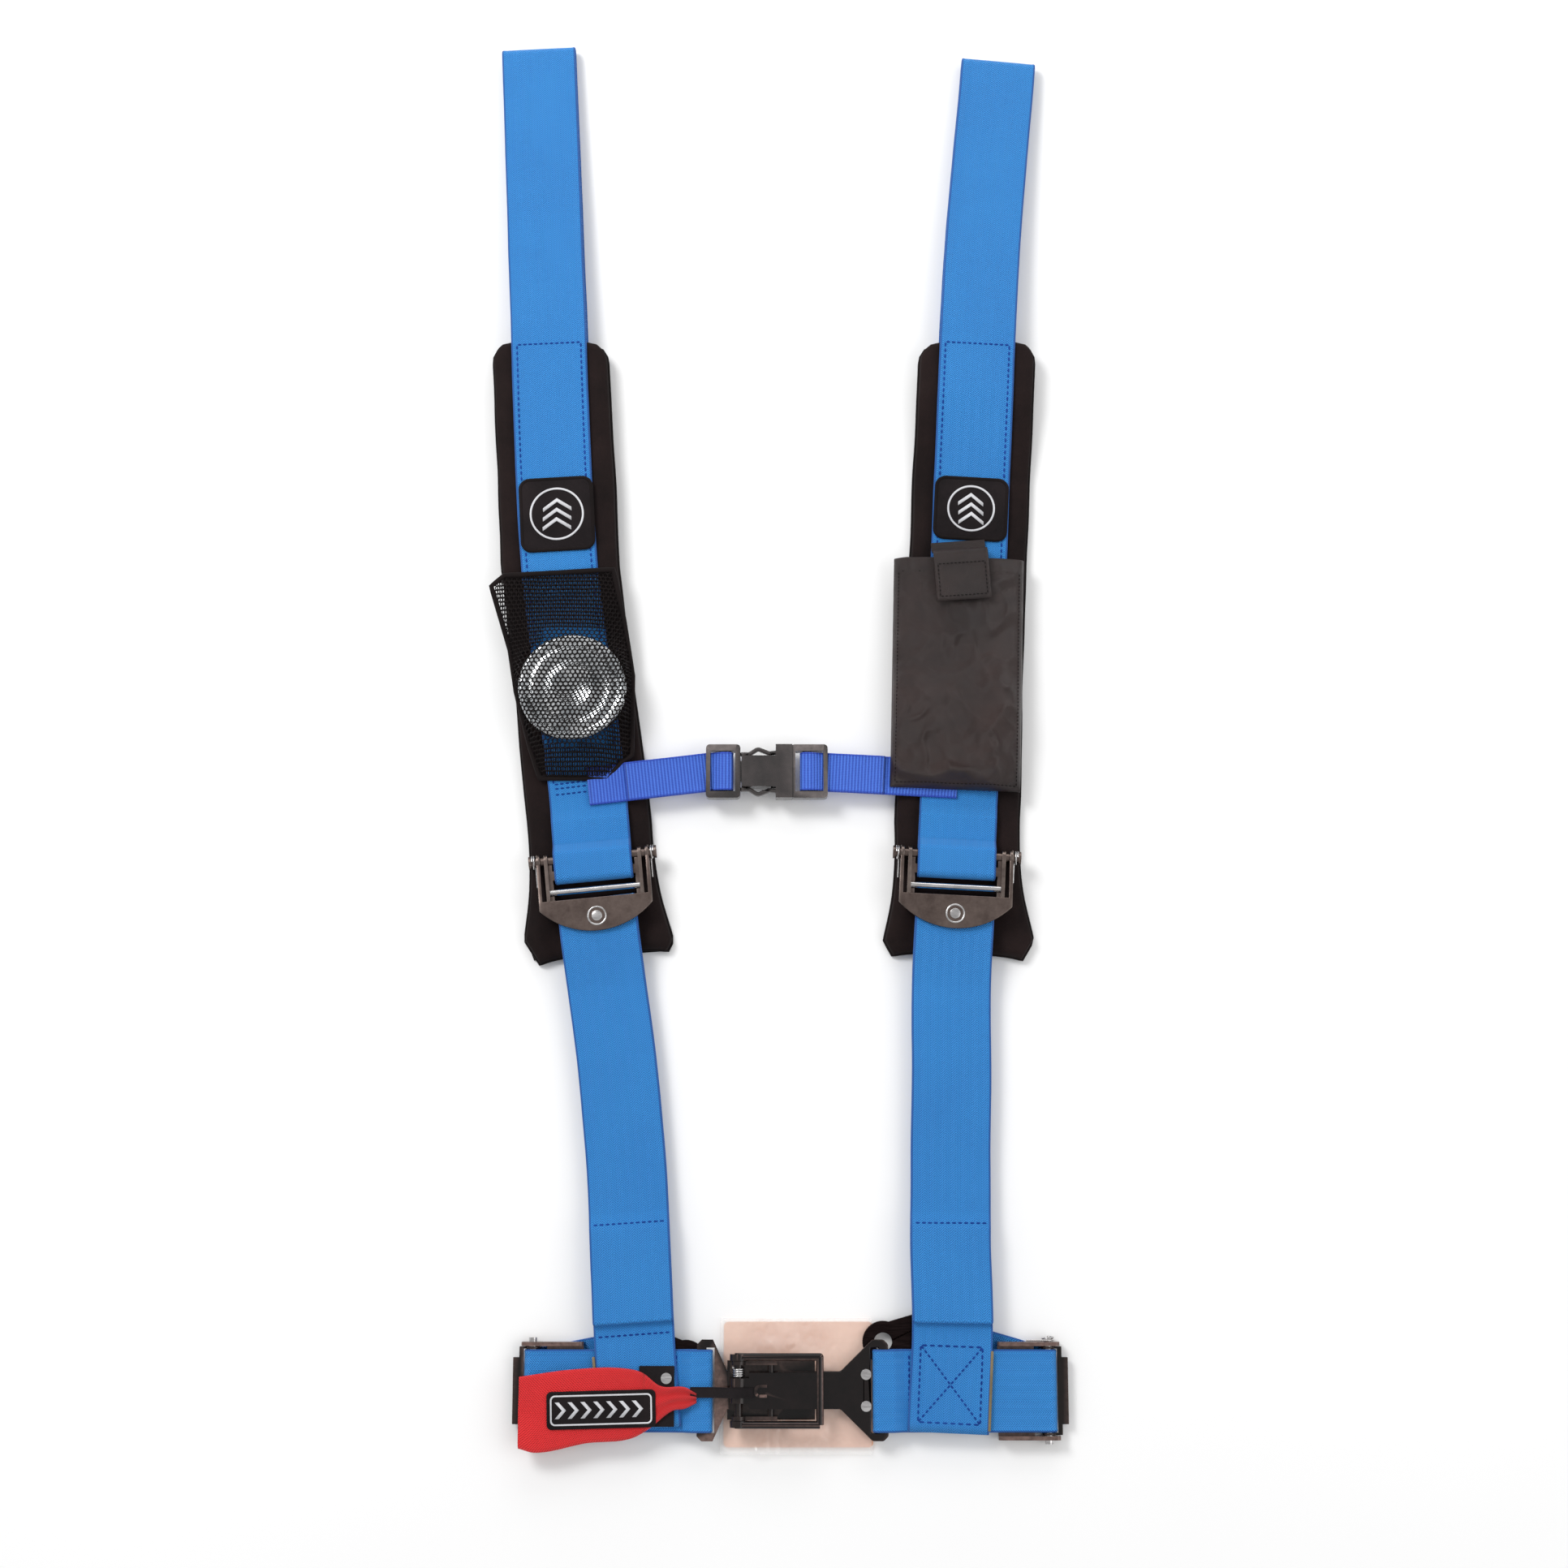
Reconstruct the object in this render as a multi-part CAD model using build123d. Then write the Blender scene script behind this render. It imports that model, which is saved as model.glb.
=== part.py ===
from build123d import *
import os

# Four-point racing harness, laid flat on its back with its front up.
# X runs across it, Y runs from the lap belts (-) to the shoulder ends (+), Z is up, in millimetres.

# ---------------------------------------------------------------- driving dimensions
WEB_WIDTH = 50.8  # two-inch belt webbing
WEB_THICK = 2.4
CHEST_WIDTH = 25.4  # one-inch chest webbing
CHEST_THICK = 1.8
REST_GAP = 0.1  # between webbing and the hardware that it passes
SPRING_KNUCKLE = 0.08  # a spring's wire swells this much where its leg starts
SEW_BITE = 0.2  # how far sewn layers are pressed together
TURN_GAP = 1.6  # room inside a fold that goes round a square bar
LIE_GAP = 0.05  # between a belt and the pad that it lies on
PIN_GAP = 0.05  # radial clearance of a pin in its holes
TALL = 120.0  # taller than anything here, for prisms that are cut down
WIDE = 600.0  # wider than anything here, for side views that are cut down

# Shoulder straps: centre lines in plan from the shoulder end to the adjuster, and their folds.
SHOULDER_LINE = {
    "left": [(-161, 470.2), (-152, 304), (-140, 100), (-119, -70)],
    "right": [(157, 461), (142, 304), (131.5, 106), (122, -70)],
}
FOLD_HEIGHT = 10.0  # height of the fold at the shoulder end
TAB_SLOT_Y = {"left": 112.0, "right": 236.0}  # where the rear run ends, behind the pad

# Shoulder pads
PAD_TOP = 255.0
PAD_BOTTOM = -157.0
PAD_THICK = 8.0
PAD_HALF = 38.5  # half of the pad's width
PAD_FLARE = 9.5  # how far its lower corners spread
PAD_EAR = 5.0  # how far each lower corner point stands beside the foot
PAD_UNEVEN = {"left": 6.0, "right": 0.0}  # how much lower the outer end of the foot hangs
PAD_CORNER = 14.0
PAD_DRIFT = 0.09  # sideways per millimetre down, where the left pad leaves its belt
PAD_DRIFT_FROM = -70.0
PAD_SKIN = 1.2  # cover fabric with its binding
PAD_LINING = 1.0
PAD_SPREAD = [(PAD_TOP, 0), (150, 0), (40, 0), (-50, 1.5), (-115, 3.0), (PAD_BOTTOM + 8, PAD_FLARE)]
PAD_SLOPE = {"left": (36.0, 96.0), "right": (161.0, 218.0)}  # where the pad climbs over the rear tab

# Mounting tabs: steel plates with a belt slot and a bolt hole
TAB_THICK = 3.0
TAB_SLOT = (53.0, 5.0)
TAB_BAR = 6.0  # the bar that the webbing goes round
TAB_REACH = 38.0  # from the bar's outer edge to the bolt hole
TAB_RIM = 13.0  # radius of the round end
BOLT_HOLE_R = 5.75  # for a 7/16 inch bolt
TAB_SEW = 22.0  # length of the sewn-back webbing
TAB_CRANK = 2.4  # how far a shoulder tab's bolt end steps down

# Shoulder adjusters, in their own frame: origin on the hinge pin, +Y up the strap
ADJUSTER_PLACE = {"left": (-115.5, -96.0, 5.5), "right": (120.8, -94.5, -3.0)}  # x, y, turn in degrees
PIN_R = 3.0
PIN_HALF = 40.0
FRAME_THICK = 3.0
FRAME_INNER = 26.6
EAR_THICK = 2.5
EAR_OUTER = 31.6
EAR_HEIGHT = 9.2
FRAME_UP = 6.0
FRAME_DOWN = 36.5
TOP_BAR = (7.0, 13.0)  # the frame's bar inside the strap's sewn loop
STRAP_BAR_Y = -31.0
STRAP_BAR_R = 2.4
STOP_ROD_Y = -21.0
STOP_ROD_R = 2.1
LEVER_THICK = 2.5
LEVER_ARM = (34.0, 36.5)
LEVER_TOP = 27.0  # distance of the lever plate's upper edge below the pin
LEVER_TIP = 48.6
SPRING_WIRE = 0.6
SPRING_R = PIN_R + 1.0
SPRING_TURNS = 1.5
SPRING_LEG = 16.0
PIN_HEAD = 1.5  # length of each end of the pin
PIN_FLANGE = 1.2  # how far its ends stand out
LEVER_EDGE = 6.0  # straight ends of the crescent
LEVER_EYE = 2.0  # metal round the pin's hole in a lever arm

# Lower straps, in the adjuster's frame: centre line in plan, and height of the load layer's middle
LOWER_LINE = {
    "left": [(0, -27), (2, -85), (5, -155), (3.5, -234), (1, -298), (0, -362)],
    "right": [(0, -27), (0, -85), (2, -135), (5.5, -232), (9, -300), (9.5, -364)],
}
TAIL_END = 297.0  # free end of the pull tail, below the pin
HEM_START = 232.0

# Lap belts
LAP_Y = -433.0
LAP_ADJUSTER_X = {"left": -149.5, "right": 174.8}  # centre of the belt bar
LAP_BAR_R = 2.6
LAP_BAR_Z = 5.25
LAP_RAIL = (27.5, 30.0)
LAP_FRAME_IN = 32.0
LAP_FRAME_OUT = 7.0
LAP_TURN = {"left": 10.6, "right": 16.0}  # how far the rear run turns up, in degrees
LAP_REAR = {"left": 60.0, "right": 70.0}  # bar to mounting tab along the rear run
LAP_CLEAR = 6.2  # the rear run starts to turn this far inside the bar
LAP_RUN_Z = 8.1 + WEB_THICK / 2  # middle of the front run
LAP_CROSS = (3.7, 6.2)  # heights of the frame's crossbar
LAP_RAIL_Z = (0.3, 10.8)
LAP_LEVER_Z = (3.6, 6.9)
LAP_LEVER_X = (5.7, 8.4, 12.3)  # where its plate starts, narrows and ends
LAP_LEVER_HALF = 20.5
LAP_KNUCKLE_R = 4.6
LAP_SPRING = (3.4, 1.5, 14.0)  # radius, turns and leg

# Central latch and link
LATCH_Y = -432.5
PLATE_THICK = 3.0
PLATE_Z = 8.2  # underside of the plates at the belt slots
SLOT_HALF = 26.0
FLARE_HALF = 31.0
LATCH_SLOT_X = -40.0
LINK_SLOT_X = 68.0
NECK_HALF = 11.6
LATCH_BODY = (-24.0, 28.0)
LATCH_HALF = 18.1
CHEEK_THICK = 2.5
PIVOT_X = -19.8
PIVOT_Z = 13.8
PIVOT_R = 2.5
BARREL_R = 5.5
BARREL_HALF = 22.3
CROSS_PIN_X = 0.4
CROSS_PIN_R = 2.0
LOOP_R = 2.4
LOOP_END = 31.0
LOOP_HALF = 20.6
LOOP_Z = 16.4
TOOTH = (13.0, 17.0)
LINK_WINDOW = (9.6, 19.0)
LINK_TIP = 3.0
RIVET_X = 60.0
RIVET_SPREAD = 19.4
RIVET_R = 2.0
CHEEK_EYE_R = 4.6  # round end of each cheek about the pivot
CHEEK_LAP = 4.0  # how far a cheek runs past its pins
LEVER_WEB = 2.2  # thickness of the latch lever's plate
LEVER_WEB_GAP = 0.3
LEVER_WEB_HALF = 11.0
LEVER_NECK_HALF = 7.6
TOOTH_HALF = 5.0
LATCH_SPRING = (3.4, 4)  # radius and turns
RING_WIRE = 1.8  # the small ring that the release cord holds
LINK_NECK_X = 44.0  # where the link plate's tongue starts

# Release strap: outline, label, hook tab, snap rivet and cord
RELEASE_OUTLINE = [
    (-156.8, -424.0),
    (-122.9, -419.5),
    (-86.9, -418.5),
    (-72.0, -429.4),
    (-49.5, -430.4),
    (-46.0, -434.0),
    (-46.0, -440.0),
    (-49.5, -443.5),
    (-60.3, -444.2),
    (-81.9, -461.3),
    (-113.6, -464.3),
    (-147.4, -470.2),
    (-153.0, -465.8),
]
RELEASE_LABEL = (68.0, 23.0, 0.8)
RELEASE_LABEL_AT = (-105.3, -443.8, 1.5)  # x, y, turn in degrees
HOOK_TAB = (22.0, 37.0, 1.2)
HOOK_TAB_AT = (-71.0, -436.0)
SNAP_AT = (-65.0, -425.0)
SNAP_R = 3.4
CORD_THICK = 1.4
CORD_WIDTH = (-4.5, 3.5)  # its two edges, from the latch's middle

# Backing pad under the latch, with its clear sheet
CARD = (94.0, 77.0, WEB_THICK - 0.2)  # with its film it passes under the lap tab
CARD_CENTRE = (17.6, -429.5)
FILM_THICK = 0.2

# Chest strap and side-release buckle
BUCKLE = (-2.6, -39.5, PAD_THICK + 4.4)  # centre of the closed buckle
BUCKLE_HALF = 17.7
BUCKLE_THICK = 10.0
CHEST_BAR_R = 2.2
MALE_BAR_X = -28.5
FEMALE_BAR_X = 23.0
CHEST_LEFT_TURN = 6.6
CHEST_RIGHT_TURN = 3.0
CHEST_LAYERS = {"left": (82.0, 57.0), "right": (90.0, 42.0)}  # sewn lower layer, free upper tail
CHEST_MERGE = 9.0  # the loop's two layers meet this far from the bar
CHEST_LAP = 0.05
MALE_FRAME = (-42.3, -19.9)
FEMALE_FRAME = (13.0, 37.1)
PRONG_LINE = [(-19.9, 11.6), (-14, 11.6), (-8.5, 15.2), (-1, 12.2), (7, 13.2)]
PRONG_WIDTH = 2.6
PRONG_HALF = 2.2
TONGUE = (-20.5, 5.5, 6.8, 2.4)  # ends, half width, half thickness
WAIST = (-18.9, 6.0, 10.2)  # ends and half width of the female body's narrow part
SHOULDER = (3.2, 14.0)
THROAT = (9.5, 7.3, 15.6, 2.9)  # end, half widths for tongue and prongs, half height

# Pockets and what is in them
POUCH = [(81.6, 103.6), (167.5, 102.0), (162.7, -53.0), (77.8, -49.5)]
POUCH_Z = (PAD_THICK + 4.5, PAD_THICK + 16.5)
POUCH_WALL = 1.2
FLAP_PATH = [
    (116.7, PAD_THICK + 3.8),
    (110, PAD_THICK + 4.2),
    (107, PAD_THICK + 17.4),
    (73, PAD_THICK + 18.1),
]  # side view in Y and Z
FLAP_WIDTH = 36.0
FLAP_X = 125.5
FLAP_TURN = 4.0
FLAP_THICK = 1.2
STRIP = (28.0, 16.0, 0.5)  # closure strip under the flap
STRIP_AT = (123.0, 84.0)
MESH_OUTLINE = [
    (-184.5, 84),
    (-172, 42),
    (-167.5, 14),
    (-151, -43.5),
    (-107, -43.5),
    (-98, -32.5),
    (-91.8, -30),
    (-91.8, 25),
    (-104, 95),
    (-176, 91),
]
MESH_ENDS = (-60, 105)  # the pocket's side view is drawn between these
MESH_FLAT = (-26, 52)  # where its front lies level over the tin
MESH_WALL = 1.0
PATCH_Y = {"left": (108.0, 158.0), "right": (117.6, 160.6)}
PATCH_THICK = 1.5
PATCH_CORNER = 6.0
TIN_R = 35.0
TIN_CENTRE = (-129.5, 14.0)
TIN_Z = (PAD_THICK + 5.6, PAD_THICK + 21.0)
TIN_WALL = 0.8

SIGN = {"left": -1, "right": 1}


# ---------------------------------------------------------------- helpers
def slab(face, low, high):
    """A plan face raised between two heights."""
    return Pos(0, 0, low) * extrude(face, high - low, dir=(0, 0, 1))


def plan_band(points, width):
    """Plan prism of one width about a smooth centre line."""
    return slab(trace(Spline(*[(x, y, 0) for x, y in points]), width), -1, TALL)


def along_y(face, half=WIDE):
    """A side view drawn in Y and Z, made solid across X."""
    return extrude(Plane.YZ * face, half, both=True)


def along_x(face, half=WIDE):
    """A side view drawn in X and Z, made solid across Y."""
    return extrude(Plane.XZ * face, half, both=True)


def webbing(path, radii, thick=WEB_THICK):
    """Side view of webbing that follows a path with rounded corners, and may lie against itself."""
    runs = [trace(edge, thick) for edge in FilletPolyline(*path, radius=radii).edges()]
    return runs[0] + runs[1:]


def polygon(points):
    return make_face(Polyline(*points, close=True))


def block(x, y, z):
    """Box from three pairs of limits."""
    size = [b - a for a, b in (x, y, z)]
    middle = [(a + b) / 2 for a, b in (x, y, z)]
    return Pos(*middle) * Box(*size)


def rod_x(radius, x0, x1, y, z):
    return Pos((x0 + x1) / 2, y, z) * Rot(0, 90, 0) * Cylinder(radius, x1 - x0)


def rod_y(radius, y0, y1, x, z):
    return Pos(x, (y0 + y1) / 2, z) * Rot(90, 0, 0) * Cylinder(radius, y1 - y0)


def coil(radius, turns, leg):
    """Torsion spring about Z from Z = 0 up, with a straight leg from its first turn along -Y."""
    pitch = 2 * SPRING_WIRE + 0.15
    helix = Helix(pitch, pitch * turns, radius)
    start = Plane(origin=helix @ 0, z_dir=helix % 0)
    wound = sweep(start * Circle(SPRING_WIRE), path=helix, is_frenet=True)
    straight = Pos(radius, -leg / 2, 0) * Rot(90, 0, 0) * Cylinder(SPRING_WIRE, leg)
    bend = Pos(radius, 0, 0) * Sphere(SPRING_WIRE + SPRING_KNUCKLE)
    return wound + bend + straight


def side_name(side, name):
    return f"{side}_{name}"


parts = {}


# ---------------------------------------------------------------- shoulder straps and pads
def pad_base(side, y):
    """Height of the pad's underside."""
    low, high = PAD_SLOPE[side]
    lifted = 2 * WEB_THICK + TAB_THICK + 3 * REST_GAP
    return lifted * min(max((y - low) / (high - low), 0), 1)


def pad_layer(side, low, high):
    """Everything between two depths of the pad's thickness, as a side view."""
    ys = [PAD_BOTTOM - 40, *PAD_SLOPE[side], PAD_TOP + 20]
    under = [(y, pad_base(side, y) + low) for y in ys]
    over = [(y, pad_base(side, y) + high) for y in reversed(ys)]
    return along_y(polygon(under + over))


def line_x(points, y):
    """X of a centre line at a height Y, straight between its points."""
    for (x0, y0), (x1, y1) in zip(points, points[1:]):
        if y1 <= y <= y0:
            return x0 + (x1 - x0) * (y0 - y) / (y0 - y1)
    end = points[-1] if y < points[-1][1] else points[0]
    return end[0]


def pad_centre(side, y):
    """X of the middle of a pad; the left one drifts outwards below the chest strap."""
    drift = PAD_DRIFT * (PAD_DRIFT_FROM - y) if side == "left" and y < PAD_DRIFT_FROM else 0
    return line_x(SHOULDER_LINE[side], y) + drift


def pad_outline(side, inset=0.0):
    """Plan of a pad: straight sides, round top corners and spread lower corners."""
    foot = PAD_BOTTOM + inset
    stations = [(PAD_TOP - inset, 0)] + PAD_SPREAD[1:]
    right = [(pad_centre(side, y) + PAD_HALF + spread - inset, y) for y, spread in stations]
    left = [(pad_centre(side, y) - PAD_HALF - spread + inset, y) for y, spread in stations]
    uneven = PAD_UNEVEN[side]
    low = [(right[-1][0] - PAD_EAR, foot), (left[-1][0] + PAD_EAR, foot - uneven)]
    face = make_face(
        [
            Spline(*right),
            Polyline(right[-1], *low, left[-1]),
            Spline(*reversed(left)),
            Line(left[0], right[0]),
        ]
    )
    corners = face.vertices().group_by(Axis.Y)[-1]
    return fillet(corners, PAD_CORNER - inset)


def make_pad(side):
    outer = slab(pad_outline(side), -1, TALL)
    inner = slab(pad_outline(side, PAD_SKIN), -1, TALL)
    hollow = inner & pad_layer(side, 0, PAD_THICK - PAD_SKIN)
    parts[side_name(side, "pad_cover")] = (outer & pad_layer(side, 0, PAD_THICK)) - hollow
    parts[side_name(side, "pad_lining")] = inner & pad_layer(side, 0, PAD_LINING)
    parts[side_name(side, "pad_foam")] = inner & pad_layer(side, PAD_LINING, PAD_THICK - PAD_SKIN)


def tab_return(slot, direction):
    """Path of webbing that ends in a loop round a tab's bar, seen from the side, ending in the rear run."""
    half = WEB_THICK / 2
    bar_top = 2 * WEB_THICK + TAB_THICK + 2 * REST_GAP - half
    turn = slot - direction * (TURN_GAP + half)
    back = slot + direction * TAB_SEW
    return [
        (back, 3 * half - SEW_BITE),
        (slot + direction * (TAB_BAR + 8), 3 * half - SEW_BITE),
        (slot + direction * (TAB_BAR + 2), bar_top),
        (turn, bar_top),
        (turn, half),
    ]


TAB_TURN_R = (2 * WEB_THICK + TAB_THICK + 2 * REST_GAP - WEB_THICK) / 2 - 0.05


def make_shoulder_strap(side):
    half = WEB_THICK / 2
    top = SHOULDER_LINE[side][0][1]
    on_pad = PAD_THICK + half + LIE_GAP
    low, high = PAD_SLOPE[side]
    lifted = pad_base(side, PAD_TOP) + on_pad
    fold = FOLD_HEIGHT - half
    path = tab_return(TAB_SLOT_Y[side], 1) + [
        (top - half, half),
        (top - half, fold),
        (PAD_TOP + 12, lifted),
        (high, lifted),
        (low, on_pad),
        (-62, on_pad),
    ]
    turn = (FOLD_HEIGHT - WEB_THICK) / 2 - 0.3
    radii = [2, 2, TAB_TURN_R, TAB_TURN_R, turn, turn, 20, 6, 6]
    long_run = plan_band(SHOULDER_LINE[side], WEB_WIDTH) & along_y(webbing(path, radii))
    x, y, turned = ADJUSTER_PLACE[side]
    parts[side_name(side, "shoulder_strap")] = long_run + Pos(x, y) * Rot(0, 0, turned) * adjuster_loop()


# ---------------------------------------------------------------- shoulder adjusters
PIN_Z = PAD_THICK + WEB_THICK + REST_GAP + PIN_R + 0.2


def adjuster_loop():
    """Sewn loop at the strap's lower end, round the hinge pin and the frame's top bar."""
    half = WEB_THICK / 2
    over = PIN_Z + PIN_R + REST_GAP + half
    flat = PAD_THICK + half + LIE_GAP
    far = -(TOP_BAR[1] + 3 * REST_GAP + half)
    path = [
        (50, flat),
        (33, flat),
        (26, flat + WEB_THICK - SEW_BITE),
        (10, flat + WEB_THICK - SEW_BITE),
        (4, over),
        (far, over),
        (far, flat),
        (24, flat),
    ]
    return slab(Pos(0, 15) * Rectangle(WEB_WIDTH, 80), 0, TALL) & along_y(
        webbing(path, [2, 2, 1.6, 2.2, 3.6, 3.6])
    )


def ring_plate(radius, hole, points, x0, x1):
    """Plate standing along Y and Z with a round end about the pin, between two X limits."""
    side_view = polygon(points) + Pos(0, PIN_Z) * Circle(radius) - Pos(0, PIN_Z) * Circle(hole)
    return Pos(x0, 0, 0) * extrude(Plane.YZ * side_view, x1 - x0)


def make_adjuster(side):
    x, y, turned = ADJUSTER_PLACE[side]
    place = Pos(x, y) * Rot(0, 0, turned)
    hole = PIN_R + PIN_GAP
    low, high = PIN_Z - FRAME_THICK / 2, PIN_Z + FRAME_THICK / 2

    arms = []
    for s in (-1, 1):
        across = sorted((s * FRAME_INNER, s * EAR_OUTER))
        arms.append(block(across, (-FRAME_DOWN, FRAME_UP - 8), (low, high)))
    top_bar = block((-FRAME_INNER, FRAME_INNER), (-TOP_BAR[1], -TOP_BAR[0]), (low, high))
    frame = top_bar + arms
    for s in (-1, 1):
        ear = polygon(
            [
                (-FRAME_DOWN, PIN_Z - EAR_HEIGHT / 2),
                (0, PIN_Z - EAR_HEIGHT / 2),
                (0, PIN_Z + EAR_HEIGHT / 2),
                (-FRAME_DOWN, PIN_Z + EAR_HEIGHT / 2),
            ]
        )
        ear = ear + Pos(0, PIN_Z) * Circle(EAR_HEIGHT / 2)
        start = (EAR_OUTER - EAR_THICK) if s > 0 else -EAR_OUTER
        frame = frame + Pos(start, 0, 0) * extrude(Plane.YZ * ear, EAR_THICK)
    frame = frame - rod_x(hole, -TALL / 2, TALL / 2, 0, PIN_Z)
    stop_z = PIN_Z + 1.2
    for radius, rod_place, z in ((STRAP_BAR_R, STRAP_BAR_Y, PIN_Z), (STOP_ROD_R, STOP_ROD_Y, stop_z)):
        frame = frame - rod_x(radius, -TALL / 2, TALL / 2, rod_place, z)
    parts[side_name(side, "adjuster_frame")] = place * frame

    pin = rod_x(PIN_R, -PIN_HALF, PIN_HALF, 0, PIN_Z)
    pin = pin + rod_x(PIN_R + PIN_FLANGE, PIN_HALF, PIN_HALF + PIN_HEAD, 0, PIN_Z)
    pin = pin + rod_x(PIN_R + PIN_FLANGE, -PIN_HALF - PIN_HEAD, -PIN_HALF, 0, PIN_Z)
    parts[side_name(side, "adjuster_pin")] = place * pin

    bars = [
        rod_x(STRAP_BAR_R, -EAR_OUTER, EAR_OUTER, STRAP_BAR_Y, PIN_Z),
        rod_x(STOP_ROD_R, -EAR_OUTER, EAR_OUTER, STOP_ROD_Y, stop_z),
    ]
    parts[side_name(side, "adjuster_bars")] = place * Compound(bars)

    plate_low = PIN_Z + STRAP_BAR_R + WEB_THICK + 3 * REST_GAP
    plate_high = plate_low + LEVER_THICK
    wing = LEVER_ARM[1]
    straight_end = -LEVER_TOP - LEVER_EDGE
    crescent = make_face(
        [
            Line((-wing, -LEVER_TOP), (wing, -LEVER_TOP)),
            Line((wing, -LEVER_TOP), (wing, straight_end)),
            ThreePointArc((wing, straight_end), (0, -LEVER_TIP), (-wing, straight_end)),
            Line((-wing, straight_end), (-wing, -LEVER_TOP)),
        ]
    )
    lever = slab(crescent, plate_low, plate_high)
    arm = [
        (0, PIN_Z - 3),
        (0, PIN_Z + 4),
        (-LEVER_TOP, plate_high),
        (straight_end, plate_high),
        (straight_end, plate_low),
        (-LEVER_TOP + 2, plate_low - 3),
    ]
    for s in (-1, 1):
        x0, x1 = sorted((s * LEVER_ARM[0], s * LEVER_ARM[1]))
        lever = lever + ring_plate(PIN_R + LEVER_EYE, hole, arm, x0, x1)
    lever = lever - rod_x(hole, -TALL / 2, TALL / 2, 0, PIN_Z)
    parts[side_name(side, "adjuster_lever")] = place * lever

    wound = coil(SPRING_R, SPRING_TURNS, SPRING_LEG)
    right_spring = Pos(LEVER_ARM[1] + 0.8, 0, PIN_Z) * Rot(0, 90, 0) * wound
    left_spring = mirror(right_spring, Plane.YZ)
    springs = Compound([right_spring.solid(), left_spring.solid()])
    parts[side_name(side, "adjuster_springs")] = place * springs


# ---------------------------------------------------------------- lower straps
def load_height(y):
    """Middle height of the load layer below the adjuster."""
    lap_top = LAP_RUN_Z + WEB_THICK + REST_GAP / 2
    under_bar = PIN_Z - STRAP_BAR_R - REST_GAP - WEB_THICK / 2
    stations = [(-364, lap_top), (-300, lap_top), (-200, lap_top - 3.4), (-80, under_bar), (0, under_bar)]
    for (y0, z0), (y1, z1) in zip(stations, stations[1:]):
        if y0 <= y <= y1:
            return z0 + (z1 - z0) * (y - y0) / (y1 - y0)
    return lap_top


def make_lower_strap(side):
    half = WEB_THICK / 2
    end = LOWER_LINE[side][-1][1]
    turn_r = STRAP_BAR_R + REST_GAP + half
    turn_y = STRAP_BAR_Y + turn_r
    over = PIN_Z + turn_r
    layer = WEB_THICK + REST_GAP
    tail_ys = [-84, -200, -HEM_START + 4, -HEM_START - 6]
    lifts = [layer, layer, layer, 2 * layer]
    path = [(y, load_height(y)) for y in (end, -300, -200, -80)]
    path += [(turn_y, load_height(0)), (turn_y, over), (-52, over - 0.3)]
    path += [(y, load_height(y) + lift) for y, lift in zip(tail_ys, lifts)]
    path += [(-TAIL_END + half, load_height(-TAIL_END) + 2 * layer)]
    radii = [8, 40, 8, turn_r - 0.1, turn_r - 0.1, 8, 8, 8, 2, 2]
    belt = along_y(webbing(path, radii))
    hem_ys = [-HEM_START - 6, -TAIL_END + half]
    hem_low = [(y, load_height(y) + layer - half) for y in hem_ys]
    hem_high = [(y, load_height(y) + layer + half + REST_GAP) for y in reversed(hem_ys)]
    fold = Pos(hem_ys[1], load_height(-TAIL_END) + 1.5 * layer) * Circle(WEB_THICK + REST_GAP / 2)
    belt = belt + along_y(polygon(hem_low + hem_high)) + along_y(fold)
    x, y, turned = ADJUSTER_PLACE[side]
    strap = plan_band([(0, 4), *LOWER_LINE[side]], WEB_WIDTH) & belt
    parts[side_name(side, "lower_strap")] = Pos(x, y) * Rot(0, 0, turned) * strap


# ---------------------------------------------------------------- mounting tabs
def mounting_tab(crank):
    """Tab along -Y, with its origin where its belt bar meets the slot; its bolt end may step down."""
    half = TAB_SLOT[0] / 2 + TAB_BAR
    slot_end = -TAB_SLOT[1]
    plan = polygon(
        [
            (-half, TAB_BAR),
            (half, TAB_BAR),
            (half, slot_end - 2),
            (TAB_RIM, -TAB_REACH),
            (-TAB_RIM, -TAB_REACH),
            (-half, slot_end - 2),
        ]
    )
    plan = plan + Pos(0, -TAB_REACH) * Circle(TAB_RIM)
    plan = plan - Pos(0, slot_end / 2) * Rectangle(*TAB_SLOT) - Pos(0, -TAB_REACH) * Circle(BOLT_HOLE_R)
    low = WEB_THICK + REST_GAP
    path = [(TAB_BAR + 1, low), (slot_end - 3, low), (slot_end - 11, low - crank), (-80, low - crank)]
    under = polygon(path + [(y, z + TAB_THICK) for y, z in reversed(path)])
    return slab(plan, -1, TALL) & along_y(under)


def shoulder_tab(side):
    return Pos(line_x(SHOULDER_LINE[side], TAB_SLOT_Y[side]), TAB_SLOT_Y[side]) * mounting_tab(TAB_CRANK)


# ---------------------------------------------------------------- lap belts and their adjusters
def lap_frame(side):
    """Frame of a lap adjuster: +X outwards, origin under the middle of the belt bar."""
    return Pos(LAP_ADJUSTER_X[side], LAP_Y) * Rot(0, 0, 0 if side == "right" else 180)


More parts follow.
